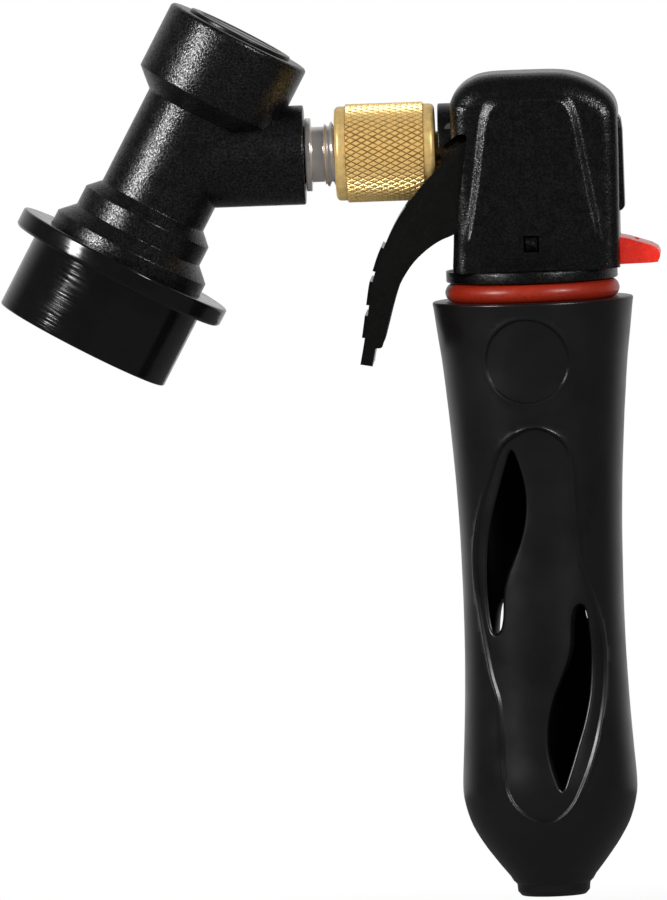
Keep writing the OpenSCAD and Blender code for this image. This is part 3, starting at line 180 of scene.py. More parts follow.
class ChargerColours(bpy.types.PropertyGroup):
    """Colours of the finishes"""
    disconnect: tint("Disconnect", "#0b0a0b", "Spark-textured moulded plastic")
    collar: tint("Collar", "#0a090a", "Polished moulded plastic")
    cover: tint("Cover", "#060606", "Glass-filled nylon")
    barrel: tint("Barrel", "#0f0d0e", "Satin moulded plastic")
    trigger: tint("Trigger", "#070706", "Satin moulded nylon")
    brass: tint("Brass", "#f2cf86", "Knurled brass")
    inner_brass: tint("Inner brass", "#b8924c", "Turned brass")
    steel: tint("Stainless steel", "#e0dad6", "Turned stainless steel")
    seal: tint("Seal", "#8e2310", "Silicone rubber")
    tab: tint("Tab", "#dc2a1c", "Glossy moulded plastic")
    rubber: tint("Rubber", "#161616", "Black rubber")
    nylon: tint("Nylon", "#e6e2d6", "Natural nylon")


# Small tools shared by the operators


def activate(piece):
    """Leaves a piece selected alone and active."""
    if bpy.context.object and bpy.context.object.mode != "OBJECT":
        bpy.ops.object.mode_set(mode="OBJECT")
    bpy.ops.object.select_all(action="DESELECT")
    if piece:
        piece.select_set(True)
        bpy.context.view_layer.objects.active = piece


def edit(piece, pick="VERT"):
    """Opens a piece in edit mode with all of it selected."""
    activate(piece)
    bpy.ops.object.mode_set(mode="EDIT")
    bpy.ops.mesh.select_mode(type=pick)
    bpy.ops.mesh.select_all(action="SELECT")


def named(name):
    """Names the primitive that was just added."""
    piece = bpy.context.object
    piece.name = piece.data.name = name
    return piece


def rounded(corners, closed=True, arc=5):
    """Points of an outline whose corners, each (x, y, radius), are rounded."""
    points, count = [], len(corners)
    for i, (x, y, radius) in enumerate(corners):
        p = Vector((x, y))
        if radius <= 0 or (not closed and i in (0, count - 1)):
            points.append((x, y))
            continue
        a = Vector(corners[i - 1][:2]) - p
        b = Vector(corners[(i + 1) % count][:2]) - p
        half = a.angle(b) / 2
        back = min(radius / math.tan(half), 0.49 * a.length, 0.49 * b.length)
        a, b = a.normalized(), b.normalized()
        middle = p + (a + b).normalized() * (back / math.cos(half))
        start, end = p + a * back - middle, p + b * back - middle
        turn = start.angle(end)
        for k in range(arc + 1):
            t = k / arc
            q = middle + (start * math.sin((1 - t) * turn) + end * math.sin(t * turn)) \
                / math.sin(turn)
            points.append((q.x, q.y))
    return points


def lathe(name, profile, steps=128, closed=True):
    """Draws a profile of (radius, height) points in millimetres and spins it about z."""
    activate(None)
    bpy.ops.mesh.primitive_plane_add(size=MM)
    piece = named(name)
    edit(piece)
    bpy.ops.mesh.merge(type="CENTER")
    at = Vector((0, 0, 0))
    for i, (r, z) in enumerate(profile + profile[:1] if closed else profile):
        to = Vector((r * MM, 0, z * MM))
        if i == 0:
            bpy.ops.transform.translate(value=to)
        else:
            bpy.ops.mesh.extrude_region_move(TRANSFORM_OT_translate={"value": to - at})
        at = to
    bpy.ops.mesh.select_all(action="SELECT")
    bpy.ops.mesh.spin(steps=steps, angle=2 * math.pi, center=(0, 0, 0), axis=(0, 0, 1))
    tidy_shell()
    return piece


def tidy_shell():
    """Merges doubles, turns every face outwards and leaves edit mode."""
    bpy.ops.mesh.select_all(action="SELECT")
    bpy.ops.mesh.remove_doubles(threshold=0.003 * MM)
    bpy.ops.mesh.dissolve_degenerate(threshold=0.0005 * MM)
    bpy.ops.mesh.select_all(action="SELECT")
    bpy.ops.mesh.normals_make_consistent(inside=False)
    bpy.ops.object.mode_set(mode="OBJECT")


def prism(name, outline, y0, y1):
    """Makes a side outline of (x, z) points in millimetres solid from y0 to y1."""
    activate(None)
    bpy.ops.mesh.primitive_circle_add(vertices=len(outline), radius=MM, fill_type="NGON")
    piece = named(name)
    for vertex, (x, z) in zip(piece.data.vertices, outline):
        vertex.co = (x * MM, y0 * MM, z * MM)
    edit(piece)
    bpy.ops.mesh.extrude_region_move(TRANSFORM_OT_translate={"value": (0, (y1 - y0) * MM, 0)})
    tidy_shell()
    return piece


def block(name, low, high):
    """A block between two corners in millimetres."""
    activate(None)
    size = [(b - a) * MM for a, b in zip(low, high)]
    middle = [(a + b) / 2 * MM for a, b in zip(low, high)]
    bpy.ops.mesh.primitive_cube_add(size=1, location=middle, scale=size)
    piece = named(name)
    bpy.ops.object.transform_apply()
    return piece


def rod(name, radius, start, end, corners=64):
    """A round bar between two points in millimetres."""
    activate(None)
    a, b = Vector(start) * MM, Vector(end) * MM
    turn = (b - a).to_track_quat("Z", "Y").to_euler()
    bpy.ops.mesh.primitive_cylinder_add(vertices=corners, radius=radius * MM,
                                        depth=(b - a).length, location=(a + b) / 2,
                                        rotation=turn)
    piece = named(name)
    bpy.ops.object.transform_apply()
    return piece


def apply_modifier(piece, kind, **settings):
    """Adds a modifier with its settings and applies it."""
    modifier = piece.modifiers.new(kind.lower(), kind)
    for key, value in settings.items():
        setattr(modifier, key, value)
    activate(piece)
    bpy.ops.object.modifier_apply(modifier=modifier.name)


def soften(piece, width, degrees):
    """Rounds a piece's sharp edges by a width."""
    apply_modifier(piece, "BEVEL", width=width, segments=3, limit_method="ANGLE",
                   angle_limit=math.radians(degrees))


def combine(piece, other, operation="UNION"):
    """Joins another solid to a piece, or cuts it away, and removes the other."""
    apply_modifier(piece, "BOOLEAN", object=other, operation=operation, solver="EXACT")
    bpy.data.objects.remove(other)


def cut(piece, other):
    """Cuts another solid away from a piece."""
    combine(piece, other, "DIFFERENCE")


def sides(inner, outer):
    """The same span on both sides of the middle plane."""
    return (-outer, -inner), (inner, outer)


def slice_off(piece, point, normal, **side):
    """Cuts a piece at a plane through a point in millimetres and closes it there."""
    edit(piece)
    bpy.ops.mesh.bisect(plane_co=[c * MM for c in point], plane_no=normal, use_fill=True,
                        **side)
    bpy.ops.object.mode_set(mode="OBJECT")


def gather(piece, *others):
    """Joins other shells into a piece as they are."""
    activate(piece)
    for other in others:
        other.select_set(True)
    bpy.ops.object.join()


def dress(piece, place, body, finish, nodes, angle):
    """Puts a finished piece in its place, on its body, in its finish, for its nodes."""
    activate(piece)
    piece.data.transform(place)
    bpy.ops.object.shade_smooth_by_angle(angle=math.radians(angle))
    piece.data.materials.clear()
    piece.data.materials.append(finishes[finish])
    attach(piece, body)
    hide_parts(*nodes)


def smooth_through(table, x):
    """Value at x on a smooth curve through a table of (place, value) pairs."""
    last = len(table) - 1
    i = max(0, min(last - 1, sum(1 for place, _ in table if place <= x) - 1))

    def slope(k):
        a, b = table[max(k - 1, 0)], table[min(k + 1, last)]
        return (b[1] - a[1]) / (b[0] - a[0])

    (x0, y0), (x1, y1) = table[i], table[i + 1]
    h = x1 - x0
    t = (x - x0) / h
    m0, m1 = slope(i) * h, slope(i + 1) * h
    return ((2 * t ** 3 - 3 * t ** 2 + 1) * y0 + (t ** 3 - 2 * t ** 2 + t) * m0
            + (3 * t ** 2 - 2 * t ** 3) * y1 + (t ** 3 - t ** 2) * m1)


def curve(points, steps, closed=True):
    """A smooth curve through points, with a few steps from each to the next."""
    p, n = np.array(points, float), len(points)
    out = []
    for i in range(n if closed else n - 1):
        a, b, c, d = (p[(i + k) % n] if closed else p[min(max(i + k, 0), n - 1)]
                      for k in (-1, 0, 1, 2))
        for k in range(steps):
            t = k / steps
            out.append((2 * b + (c - a) * t + (2 * a - 5 * b + 4 * c - d) * t * t
                        + (3 * b - a - 3 * c + d) * t ** 3) / 2)
    if not closed:
        out.append(p[-1])
    return np.array(out)


def outward(loop, closed=True):
    """Unit vectors to the right of a line's direction at each of its points."""
    if closed:
        run = np.roll(loop, -1, 0) - np.roll(loop, 1, 0)
    else:
        run = np.gradient(loop, axis=0)
    side = np.stack([run[:, 1], -run[:, 0]], 1)
    return side / np.linalg.norm(side, axis=1)[:, None]


def anticlockwise(loop):
    """A closed loop, turned round if it runs clockwise."""
    a, b = loop, np.roll(loop, -1, 0)
    return loop if (a[:, 0] * b[:, 1] - b[:, 0] * a[:, 1]).sum() > 0 else loop[::-1]


def within(points, loop):
    """Which points lie inside a closed loop."""
    x, y = points[:, 0, None], points[:, 1, None]
    a, b = loop, np.roll(loop, -1, 0)
    level = (a[:, 1] > y) != (b[:, 1] > y)
    rise = np.where(b[:, 1] == a[:, 1], 1, b[:, 1] - a[:, 1])
    return (level & (x < a[:, 0] + (y - a[:, 1]) * (b[:, 0] - a[:, 0]) / rise)).sum(1) % 2 == 1


def beyond(points, loop):
    """Distance from points to a closed loop, negative inside it."""
    run = np.roll(loop, -1, 0) - loop
    away = points[:, None] - loop
    t = np.clip((away * run).sum(2) / (run * run).sum(1), 0, 1)
    near = np.sqrt(((away - t[..., None] * run) ** 2).sum(2)).min(1)
    return np.where(within(points, loop), -near, near)


def cut_sheet(loops, spare, drop, lines=()):
    """Triangulates a flat sheet of spare points so that its edges follow closed loops and
    open lines. Returns its points, its triangles outside the loops in drop, and the places
    of each loop and line."""
    points, edges, spans = [], [], []
    for row, gap in [(loop, 0) for loop in loops] + [(line, 1) for line in lines]:
        first, n = len(points), len(row)
        points += list(row)
        edges += [(first + i, first + (i + 1) % n) for i in range(n - gap)]
        spans.append((first, n))
    points += list(spare)
    flat, _, faces, sources, _, _ = delaunay_2d_cdt([Vector(q) for q in points], edges, [], 0,
                                                    1e-5)
    flat = np.array([(v.x, v.y) for v in flat])
    place = {source: i for i, group in enumerate(sources) for source in group}
    middle = np.array([flat[list(f)].mean(0) for f in faces])
    keep = np.ones(len(faces), bool)
    for loop in drop:
        keep &= ~within(middle, loop)
    rings = [[place[first + i] for i in range(n)] for first, n in spans]
    return flat, [list(f) for f, k in zip(faces, keep) if k], rings


def shell(name, points, faces):
    """A mesh of points in millimetres and faces, with doubles merged and faces outwards."""
    mesh = bpy.data.meshes.new(name)
    mesh.from_pydata([tuple(c * MM for c in p) for p in points], [], faces)
    piece = bpy.data.objects.new(name, mesh)
    bpy.context.scene.collection.objects.link(piece)
    edit(piece)
    tidy_shell()
    return piece


# Finishes

finishes = {}


def add(tree, kind, inputs=None, **settings):
    """Adds a shader node with its settings. Each input is a value, another node's output, or
    a node, which stands for its first output."""
    made = tree.nodes.new("ShaderNode" + kind)
    for key, value in settings.items():
        setattr(made, key, value)
    for key, value in (inputs or {}).items():
        if isinstance(value, bpy.types.Node):
            value = value.outputs[0]
        if isinstance(value, bpy.types.NodeSocket):
            tree.links.new(value, made.inputs[key])
        else:
            made.inputs[key].default_value = value
    return made


def new_finish(name, colour, roughness, metallic=0.0, ior=1.5, **sockets):
    """A material with one surface shader, its object coordinates and its output."""
    material = bpy.data.materials.new(name)
    material.use_nodes = True
    tree = material.node_tree
    tree.nodes.clear()
    inputs = {"Base Color": colour, "Roughness": roughness, "Metallic": metallic}
    if not metallic:
        inputs["IOR"] = ior
    inputs.update(sockets)
    surface = add(tree, "BsdfPrincipled", inputs)
    add(tree, "OutputMaterial", {"Surface": surface})
    where = add(tree, "TexCoord").outputs["Object"]
    finishes[name] = material
    return tree, surface, where


def relief(tree, where, scale, depth, detail=1.0):
    """A noise of a scale, and the bump that it makes at a depth in millimetres."""
    noise = add(tree, "TexNoise", {"Vector": where, "Scale": scale,
                                   "Detail": detail}).outputs[0]
    bump = add(tree, "Bump", {"Height": noise, "Distance": depth * MM,
                              "Strength": 1.0}).outputs[0]
    return noise, bump


def spread_over(tree, value, socket, low, high, start=0.0, end=1.0):
    """Drives a socket from low to high as a value goes from start to end."""
    drive = add(tree, "MapRange", {"Value": value, "From Min": start, "From Max": end,
                                   "To Min": low, "To Max": high})
    tree.links.new(drive.outputs[0], socket)


def grain(finish, size, depth, spread, shade=0.0, detail=2.0, normal=None):
    """Moulded grain: cells of a size in millimetres raise the surface by a depth in
    millimetres. They spread its roughness, and its colour by a share."""
    tree, surface, where = finish
    noise = add(tree, "TexNoise", {"Vector": where, "Scale": 1 / (size * MM),
                                   "Detail": detail, "Roughness": 0.6}).outputs[0]
    sockets = {"Height": noise, "Distance": depth * MM, "Strength": 1.0}
    if normal:
        sockets["Normal"] = normal
    bump = add(tree, "Bump", sockets)
    tree.links.new(bump.outputs[0], surface.inputs["Normal"])
    middle = surface.inputs["Roughness"].default_value
    spread_over(tree, noise, surface.inputs["Roughness"], middle - spread, middle + spread,
                0.3, 0.7)
    if shade:
        colour = surface.inputs["Base Color"]
        mixed = add(tree, "VectorMath", {0: colour.default_value[:3]}, operation="MULTIPLY")
        spread_over(tree, noise, mixed.inputs[1], 1 - shade, 1 + shade, 0.25, 0.75)
        tree.links.new(mixed.outputs[0], colour)


class CHARGER_OT_finishes(bpy.types.Operator):
    """Makes the finishes of every piece"""
    bl_idname = "charger.finishes"
    bl_label = "Finishes"

    def execute(self, context):
        c = context.scene.charger_colours
        self.plastics(c)
        self.metals(c)
        # Silicone rubber: a soft sheen with light let in a little way, a bloom of paler dust
        # and small pits.
        grain(new_finish("silicone_red", c.seal, 0.34, ior=1.43,
                         **{"Subsurface Weight": 0.12,
                            "Subsurface Radius": (0.0012, 0.0004, 0.0002)}),
              0.7, 0.012, 0.08, 0.12, 3.0)
        # Black nitrile rubber of the small seals: dull and even.
        grain(new_finish("nitrile_black", c.rubber, 0.6), 0.5, 0.006, 0.1, 0.2)
        return {"FINISHED"}

    def plastics(self, c):
        # ABS moulded in a spark-eroded tool: a coarse grain that breaks each highlight into
        # bright specks, with a soft broad sheen. It is drawn 0.3 mm coarse, which is two
        # pixels of the photograph, because anything finer can't show.
        finish = tree, surface, where = new_finish("abs_spark_textured", c.disconnect, 0.27)
        specks, bump = relief(tree, where, 1 / (0.3 * MM), 0.06)
        spread_over(tree, specks, surface.inputs["Specular IOR Level"], 0.12, 0.95, 0.4, 0.62)
        grain(finish, 2.2, 0.012, 0.04, 0.1, normal=bump)

        # ABS from a polished tool: a deep gloss, with faint turning lines round the axis that
        # draw each highlight out into short stripes across it.
        finish = tree, _, where = new_finish("abs_polished", c.collar, 0.15)
        upright = add(tree, "Mapping", {"Vector": where, "Rotation": (0, -LEAN, 0)})
        lines = add(tree, "Mapping", {"Vector": upright, "Scale": (140, 140, 1 / (0.5 * MM))})
        _, bump = relief(tree, lines, 1.0, 0.05)
        grain(finish, 3.0, 0.012, 0.04, 0.1, normal=bump)

        # Nylon filled with glass fibre: a dry fine grain with pale specks where fibres lie
        # open, which show most where light grazes an edge.
        finish = tree, surface, where = new_finish("glass_filled_nylon", c.cover, 0.27)
        fibres, bump = relief(tree, where, 1 / (0.28 * MM), 0.06)
        spread_over(tree, fibres, surface.inputs["Specular IOR Level"], 0.25, 0.72, 0.4, 0.62)
        grain(finish, 1.8, 0.008, 0.04, 0.08, normal=bump)

        # Polypropylene from a smooth tool: a satin skin with slow, shallow sink waves that
        # bend the reflections a little, and a faint fine grain.
        finish = tree, _, where = new_finish("polypropylene_satin", c.barrel, 0.31)
        _, bump = relief(tree, where, 1 / (0.4 * MM), 0.003)
        grain(finish, 9.0, 0.05, 0.05, 0.12, normal=bump)

        # The trigger's nylon: smoother than the barrel, with a fine even grain.
        grain(new_finish("nylon_satin", c.trigger, 0.24), 0.8, 0.003, 0.04, 0.08)

        # Glossy dyed plastic of the tab: clear bright red, with light let in at thin edges.
        grain(new_finish("acetal_red", c.tab, 0.25, ior=1.48,
                         **{"Subsurface Weight": 0.1,
                            "Subsurface Radius": (0.0015, 0.0003, 0.0002)}),
              1.1, 0.008, 0.06, 0.08)

        # Natural nylon of the flare washer: milky and waxy.
        grain(new_finish("nylon_natural", c.nylon, 0.4), 0.6, 0.005, 0.08, 0.05)

    def metals(self, c):
        # Brass knurled and left bright: warm yellow crests, with painted shade in the grooves,
        # where a brown is blended in toward their floors, and small changes of hue from crest
        # to crest.
        tree, surface, where = new_finish("brass_knurled", c.brass, 0.28, 0.45)
        blotch = add(tree, "TexNoise",
                     {"Vector": where, "Scale": 1 / (1.1 * MM), "Detail": 3.0})
        # the crest share, 0 at the groove floors and 1 on the crests, sets how much painted
        # groove shade is blended in
        edge = add(tree, "Attribute", attribute_name="crest")
        worn = add(tree, "Math", {0: blotch, 1: 0.5}, operation="SUBTRACT")
        hue_and_groove_shade = add(tree, "Math", {0: worn, 1: 0.7, 2: edge.outputs["Fac"]},
                   operation="MULTIPLY_ADD")
        ramp = add(tree, "ValToRGB", {"Fac": hue_and_groove_shade})
        # the ramp's dark end is the painted shade of the grooves, a dark brown
        ramp.color_ramp.elements[0].color = linear("#7c5322")
        ramp.color_ramp.elements[1].color = c.brass
        ramp.color_ramp.elements[1].position = 0.75
        tree.links.new(ramp.outputs[0], surface.inputs["Base Color"])
        spread_over(tree, hue_and_groove_shade, surface.inputs["Roughness"], 0.5, 0.28)

        # Turned brass inside the head: duller, with a fine grain of tool marks.
        grain(new_finish("brass_turned", c.inner_brass, 0.32, 1.0), 0.5, 0.006, 0.08)

        # Stainless steel turned on a lathe: bright, with rings of fine tool marks about the
        # outlet's axis that stretch its highlights.
        tree, surface, where = new_finish("stainless_turned", c.steel, 0.2, 0.8)
        rings = add(tree, "Mapping", {"Vector": where, "Scale": (1 / (0.22 * MM), 40, 40)})
        marks, bump = relief(tree, rings, 1.0, 0.006, 2.0)
        tree.links.new(bump, surface.inputs["Normal"])
        spread_over(tree, marks, surface.inputs["Roughness"], 0.1, 0.3)

        # Ground and polished steel of the balls, pins and springs.
        grain(new_finish("steel_polished", c.steel, 0.15, 1.0), 0.6, 0.002, 0.06)


class CHARGER_OT_kept_solids(bpy.types.Operator):
    """Gives each solid that is shown as it is its finish"""
    bl_idname = "charger.kept_solids"
    bl_label = "Kept solids"

    kept = {
        "abs_spark_textured": ("poppet",),
        "steel_polished": ("lock_ball_1", "lock_ball_2", "lock_ball_3", "collar_spring",
                           "poppet_spring", "valve_spring", "stem_keeper_pin",
                           "trigger_pivots", "piercing_pin", "valve_stem"),
        "brass_turned": ("outlet_stem", "valve_manifold", "valve_plug", "gas_filter"),
        "nitrile_black": ("cap_ring", "poppet_seal", "fitting_ring", "stem_ring",
                          "cartridge_seal", "valve_seal", "valve_stem_ring",
                          "cartridge_rest"),
        "nylon_natural": ("flare_washer",),
    }

    def execute(self, context):
        for finish, nodes in self.kept.items():
            for name in nodes:
                for place in frame["nodes"][name].material_slots:
                    place.link = "OBJECT"
                    place.material = finishes[finish]
        return {"FINISHED"}


class CHARGER_OT_disconnect(bpy.types.Operator):
    """Turns the disconnect's body, its cap and its sliding collar"""
    bl_idname = "charger.disconnect"
    bl_label = "Disconnect"

    def execute(self, context):
        outside = rounded([(0, -12.9, 0), (12.6, -12.9, 0.3), (12.6, 1, 0), (14.2, 1, 0.2),
                           (14.2, 4.5, 0.25), (11.8, 6.9, 0.15), (11.8, 10.4, 0.25),
                           (9.7, 12.5, 0.3), (9.7, 30.2, 0.4), (12.95, 33.2, 0.3),
                           (12.95, 45.3, 0.7), (0, 45.3, 0)], arc=4)
        body = lathe("disconnect_shell", outside)
        port = lathe("port", rounded([(0, 0, 0), (8.55, 0, 0), (8.55, 22.05, 0.3),
                                      (0, 22.05, 0)]), 96)
        port_height = 21.4 * MM
        to_port = (Matrix.Translation((0, 0, port_height))
                   @ Matrix.Rotation(math.pi / 2 - LEAN, 4, "Y"))
        port.data.transform(to_port)
        combine(body, port)
        inside = lathe("inside", rounded([
            (0, -14, 0), (11.1, -14, 0), (11.1, -12.8, 0.1), (10.8, -12.4, 0), (10.8, -11, 0),
            (11.05, -11, 0), (11.05, -7, 0), (10.8, -7, 0), (10.8, 0, 0), (8, 0, 0),
            (8, 8, 0), (3, 8, 0), (3, 9.8, 0), (6, 9.8, 0), (6, 38.3, 0), (8.6, 38.3, 0),
            (8.6, 46, 0), (0, 46, 0)], arc=3), 96)
        cut(body, inside)
        bore = lathe("bore", [(0, 2), (1.9, 2), (1.9, 14.75), (5, 14.75), (5, 23), (0, 23)],
                     64)
        bore.data.transform(to_port)
        cut(body, bore)
        for turn in (60, 180, 300):
            hole = rod("hole", 1.8, (11.1, 0, -9), (14, 0, -9), 40)
            hole.data.transform(Matrix.Rotation(math.radians(turn), 4, "Z"))
            cut(body, hole)
        dress(body, ON_DISCONNECT, "disconnect", "abs_spark_textured",
              ["disconnect_body"], 30)

        cap = lathe("cap_shell", rounded([(0, 38.35, 0), (7.1, 38.35, 0), (7.1, 39.85, 0),
                                          (8.5, 39.85, 0), (8.5, 45.35, 0), (9.5, 45.35, 0),
                                          (9.5, 45.9, 0.25), (7.9, 45.9, 0.15),
                                          (7.7, 45.75, 0.15), (0, 45.75, 0)]), 96)
        cut(cap, block("slot", (-7.2, -1, 44.5), (7.2, 1, 47)))
        dress(cap, ON_DISCONNECT, "disconnect", "polypropylene_satin",
              ["disconnect_cap"], 30)

        collar = lathe("collar_shell", rounded([
            (14.77, -14.4, 0.15), (15.75, -14.4, 0.4), (15.75, -1, 0.35), (19.1, -1, 0.35),
            (19.5, -0.55, 0.3), (19.5, 2.25, 0.35), (14.3, 2.25, 0.3), (14.3, -6.6, 0),
            (13.32, -6.6, 0), (13.32, -7.6, 0)], arc=4), 160)
        dress(collar, ON_DISCONNECT, "collar", "abs_polished",
              ["release_collar"], 30)
        return {"FINISHED"}


def helix(name, root, crest, pitch, start, end, steps=48):
    """A thread's ridge about z, from start to end, wound by the screw modifier."""
    activate(None)
    bpy.ops.mesh.primitive_circle_add(vertices=4, radius=MM, fill_type="NOTHING")
    piece = named(name)
    # the ridge is sunk a little into the core and has a narrow flat crest
    foot, half_foot, half_crest = root - 0.15, 0.42 * pitch, 0.09 * pitch
    profile = [(foot, -half_foot), (crest, -half_crest), (crest, half_crest),
               (foot, half_foot)]
    for vertex, (r, z) in zip(piece.data.vertices, profile):
        vertex.co = (r * MM, 0, (start + 0.45 * pitch + z) * MM)
    turns = max(1, int((end - start) / pitch - 0.9))
    apply_modifier(piece, "SCREW", axis="Z", angle=2 * math.pi, screw_offset=pitch * MM,
                   iterations=turns, steps=steps, render_steps=steps,
                   use_smooth_shade=True)
    bpy.ops.object.mode_set(mode="EDIT")
    bpy.ops.mesh.select_mode(type="EDGE")
    bpy.ops.mesh.select_all(action="DESELECT")
    bpy.ops.mesh.select_non_manifold()
    bpy.ops.mesh.edge_face_add()
    tidy_shell()
    return piece


class CHARGER_OT_outlet(bpy.types.Operator):
    """Turns the flare fitting with its thread, and knurls the nut"""
    bl_idname = "charger.outlet"
    bl_label = "Outlet"

    def execute(self, context):
        fitting = lathe("fitting_shell", rounded([
            (1.9, -7, 0), (4.95, -7, 0), (4.95, 0, 0), (4, 0, 0), (4, 0.2, 0),
            (6.3, 0.2, 0.2), (6.3, 1.2, 0.2), (4.75, 1.2, 0.25), (4.75, 3.4, 0.2),
            (5.3, 3.55, 0.05), (4.79, 4.1, 0), (4.79, 11.1, 0), (2.99, 12.9, 0.1),
            (1.9, 12.9, 0)], arc=3), 96)
        gather(fitting, helix("thread", 4.79, 5.55, 1.27, 3.5, 11.1))
        dress(fitting, ON_OUTLET, "disconnect", "stainless_turned",
              ["flare_fitting"], 40)
        self.nut(context)
        return {"FINISHED"}

    def nut(self, context):
        height = context.scene.charger_sizes.knurl_height / MM
        plain, base, start, end = 8.1, 8.45 - height, 7.15, 20.65
        core = lathe("nut_shell", rounded([
            (5.75, NUT_START, 0.2), (plain, NUT_START, 1.35), (plain, start - 0.1, 0.15),
            (base - 0.1, start + 0.15, 0), (base - 0.1, end - 0.15, 0),
            (plain, end + 0.1, 0.15), (plain, 22.5, 1.35), (3.35, 22.5, 0),
            (3.35, 16.1, 0), (5.6, 16.1, 0), (5.6, 5.5, 0)], arc=7), 128)
        # The knurl starts as a flat grid: poking it and dissolving its first edges leaves
        # diamonds, which are inset and raised, and then wrapped round the nut.
        around, along = 50, 7
        activate(None)
        bpy.ops.mesh.primitive_grid_add(x_subdivisions=along, y_subdivisions=around, size=1)
        knurl = named("knurl")
        edit(knurl, "EDGE")
        bpy.ops.mesh.poke()
        bpy.ops.mesh.select_all(action="DESELECT")
        bpy.ops.object.mode_set(mode="OBJECT")
        mesh = knurl.data
        grid_points, grid_edge = (around + 1) * (along + 1), 0.499
        for e in mesh.edges:
            a, b = (mesh.vertices[i].co for i in e.vertices)
            inner = min(abs(a.x), abs(b.x)) < grid_edge
            border = min(abs(a.y), abs(b.y)) > grid_edge
            e.select = max(e.vertices) < grid_points and inner and not border
        bpy.ops.object.mode_set(mode="EDIT")
        bpy.ops.mesh.dissolve_edges(use_verts=False)
        bpy.ops.object.mode_set(mode="OBJECT")
        flat_radius, groove = 8.3, 0.2
        size_x, size_y = end - start, 2 * math.pi * flat_radius
        for v in mesh.vertices:
            v.co = (v.co.x * size_x, v.co.y * size_y, 0)
        edit(knurl, "FACE")
        bpy.ops.mesh.normals_make_consistent(inside=False)
        bpy.ops.mesh.inset(use_individual=True, thickness=groove, depth=height)
        bpy.ops.object.mode_set(mode="OBJECT")
        top = max(abs(v.co.z) for v in mesh.vertices)
        # each point's share of the diamonds' height is kept as the crest share, which sets the
        # painted shade in the grooves
        crest = mesh.attributes.new("crest", "FLOAT", "POINT")
        middle = (start + end) / 2
        for v in mesh.vertices:
            rise = abs(v.co.z) / top
            crest.data[v.index].value = rise
            angle = v.co.y / size_y * 2 * math.pi
            r = base + rise * height
            v.co = (r * math.cos(angle) * MM, r * math.sin(angle) * MM,
                    (middle + v.co.x) * MM)
        edit(knurl)
        tidy_shell()
        # the smooth ends count as crests at their full radius; below it, on the end faces and
        # in the bore, they get part of the painted groove shade and are a little darker and
        # duller
        full, lower = 1.0, 0.6
        smooth = core.data.attributes.new("crest", "FLOAT", "POINT")
        for v in core.data.vertices:
            at_full_radius = v.co.xy.length > (base - 0.05) * MM
            smooth.data[v.index].value = full if at_full_radius else lower
        gather(core, knurl)
        dress(core, ON_OUTLET, "nut", "brass_knurled", ["knurled_nut"], 28)


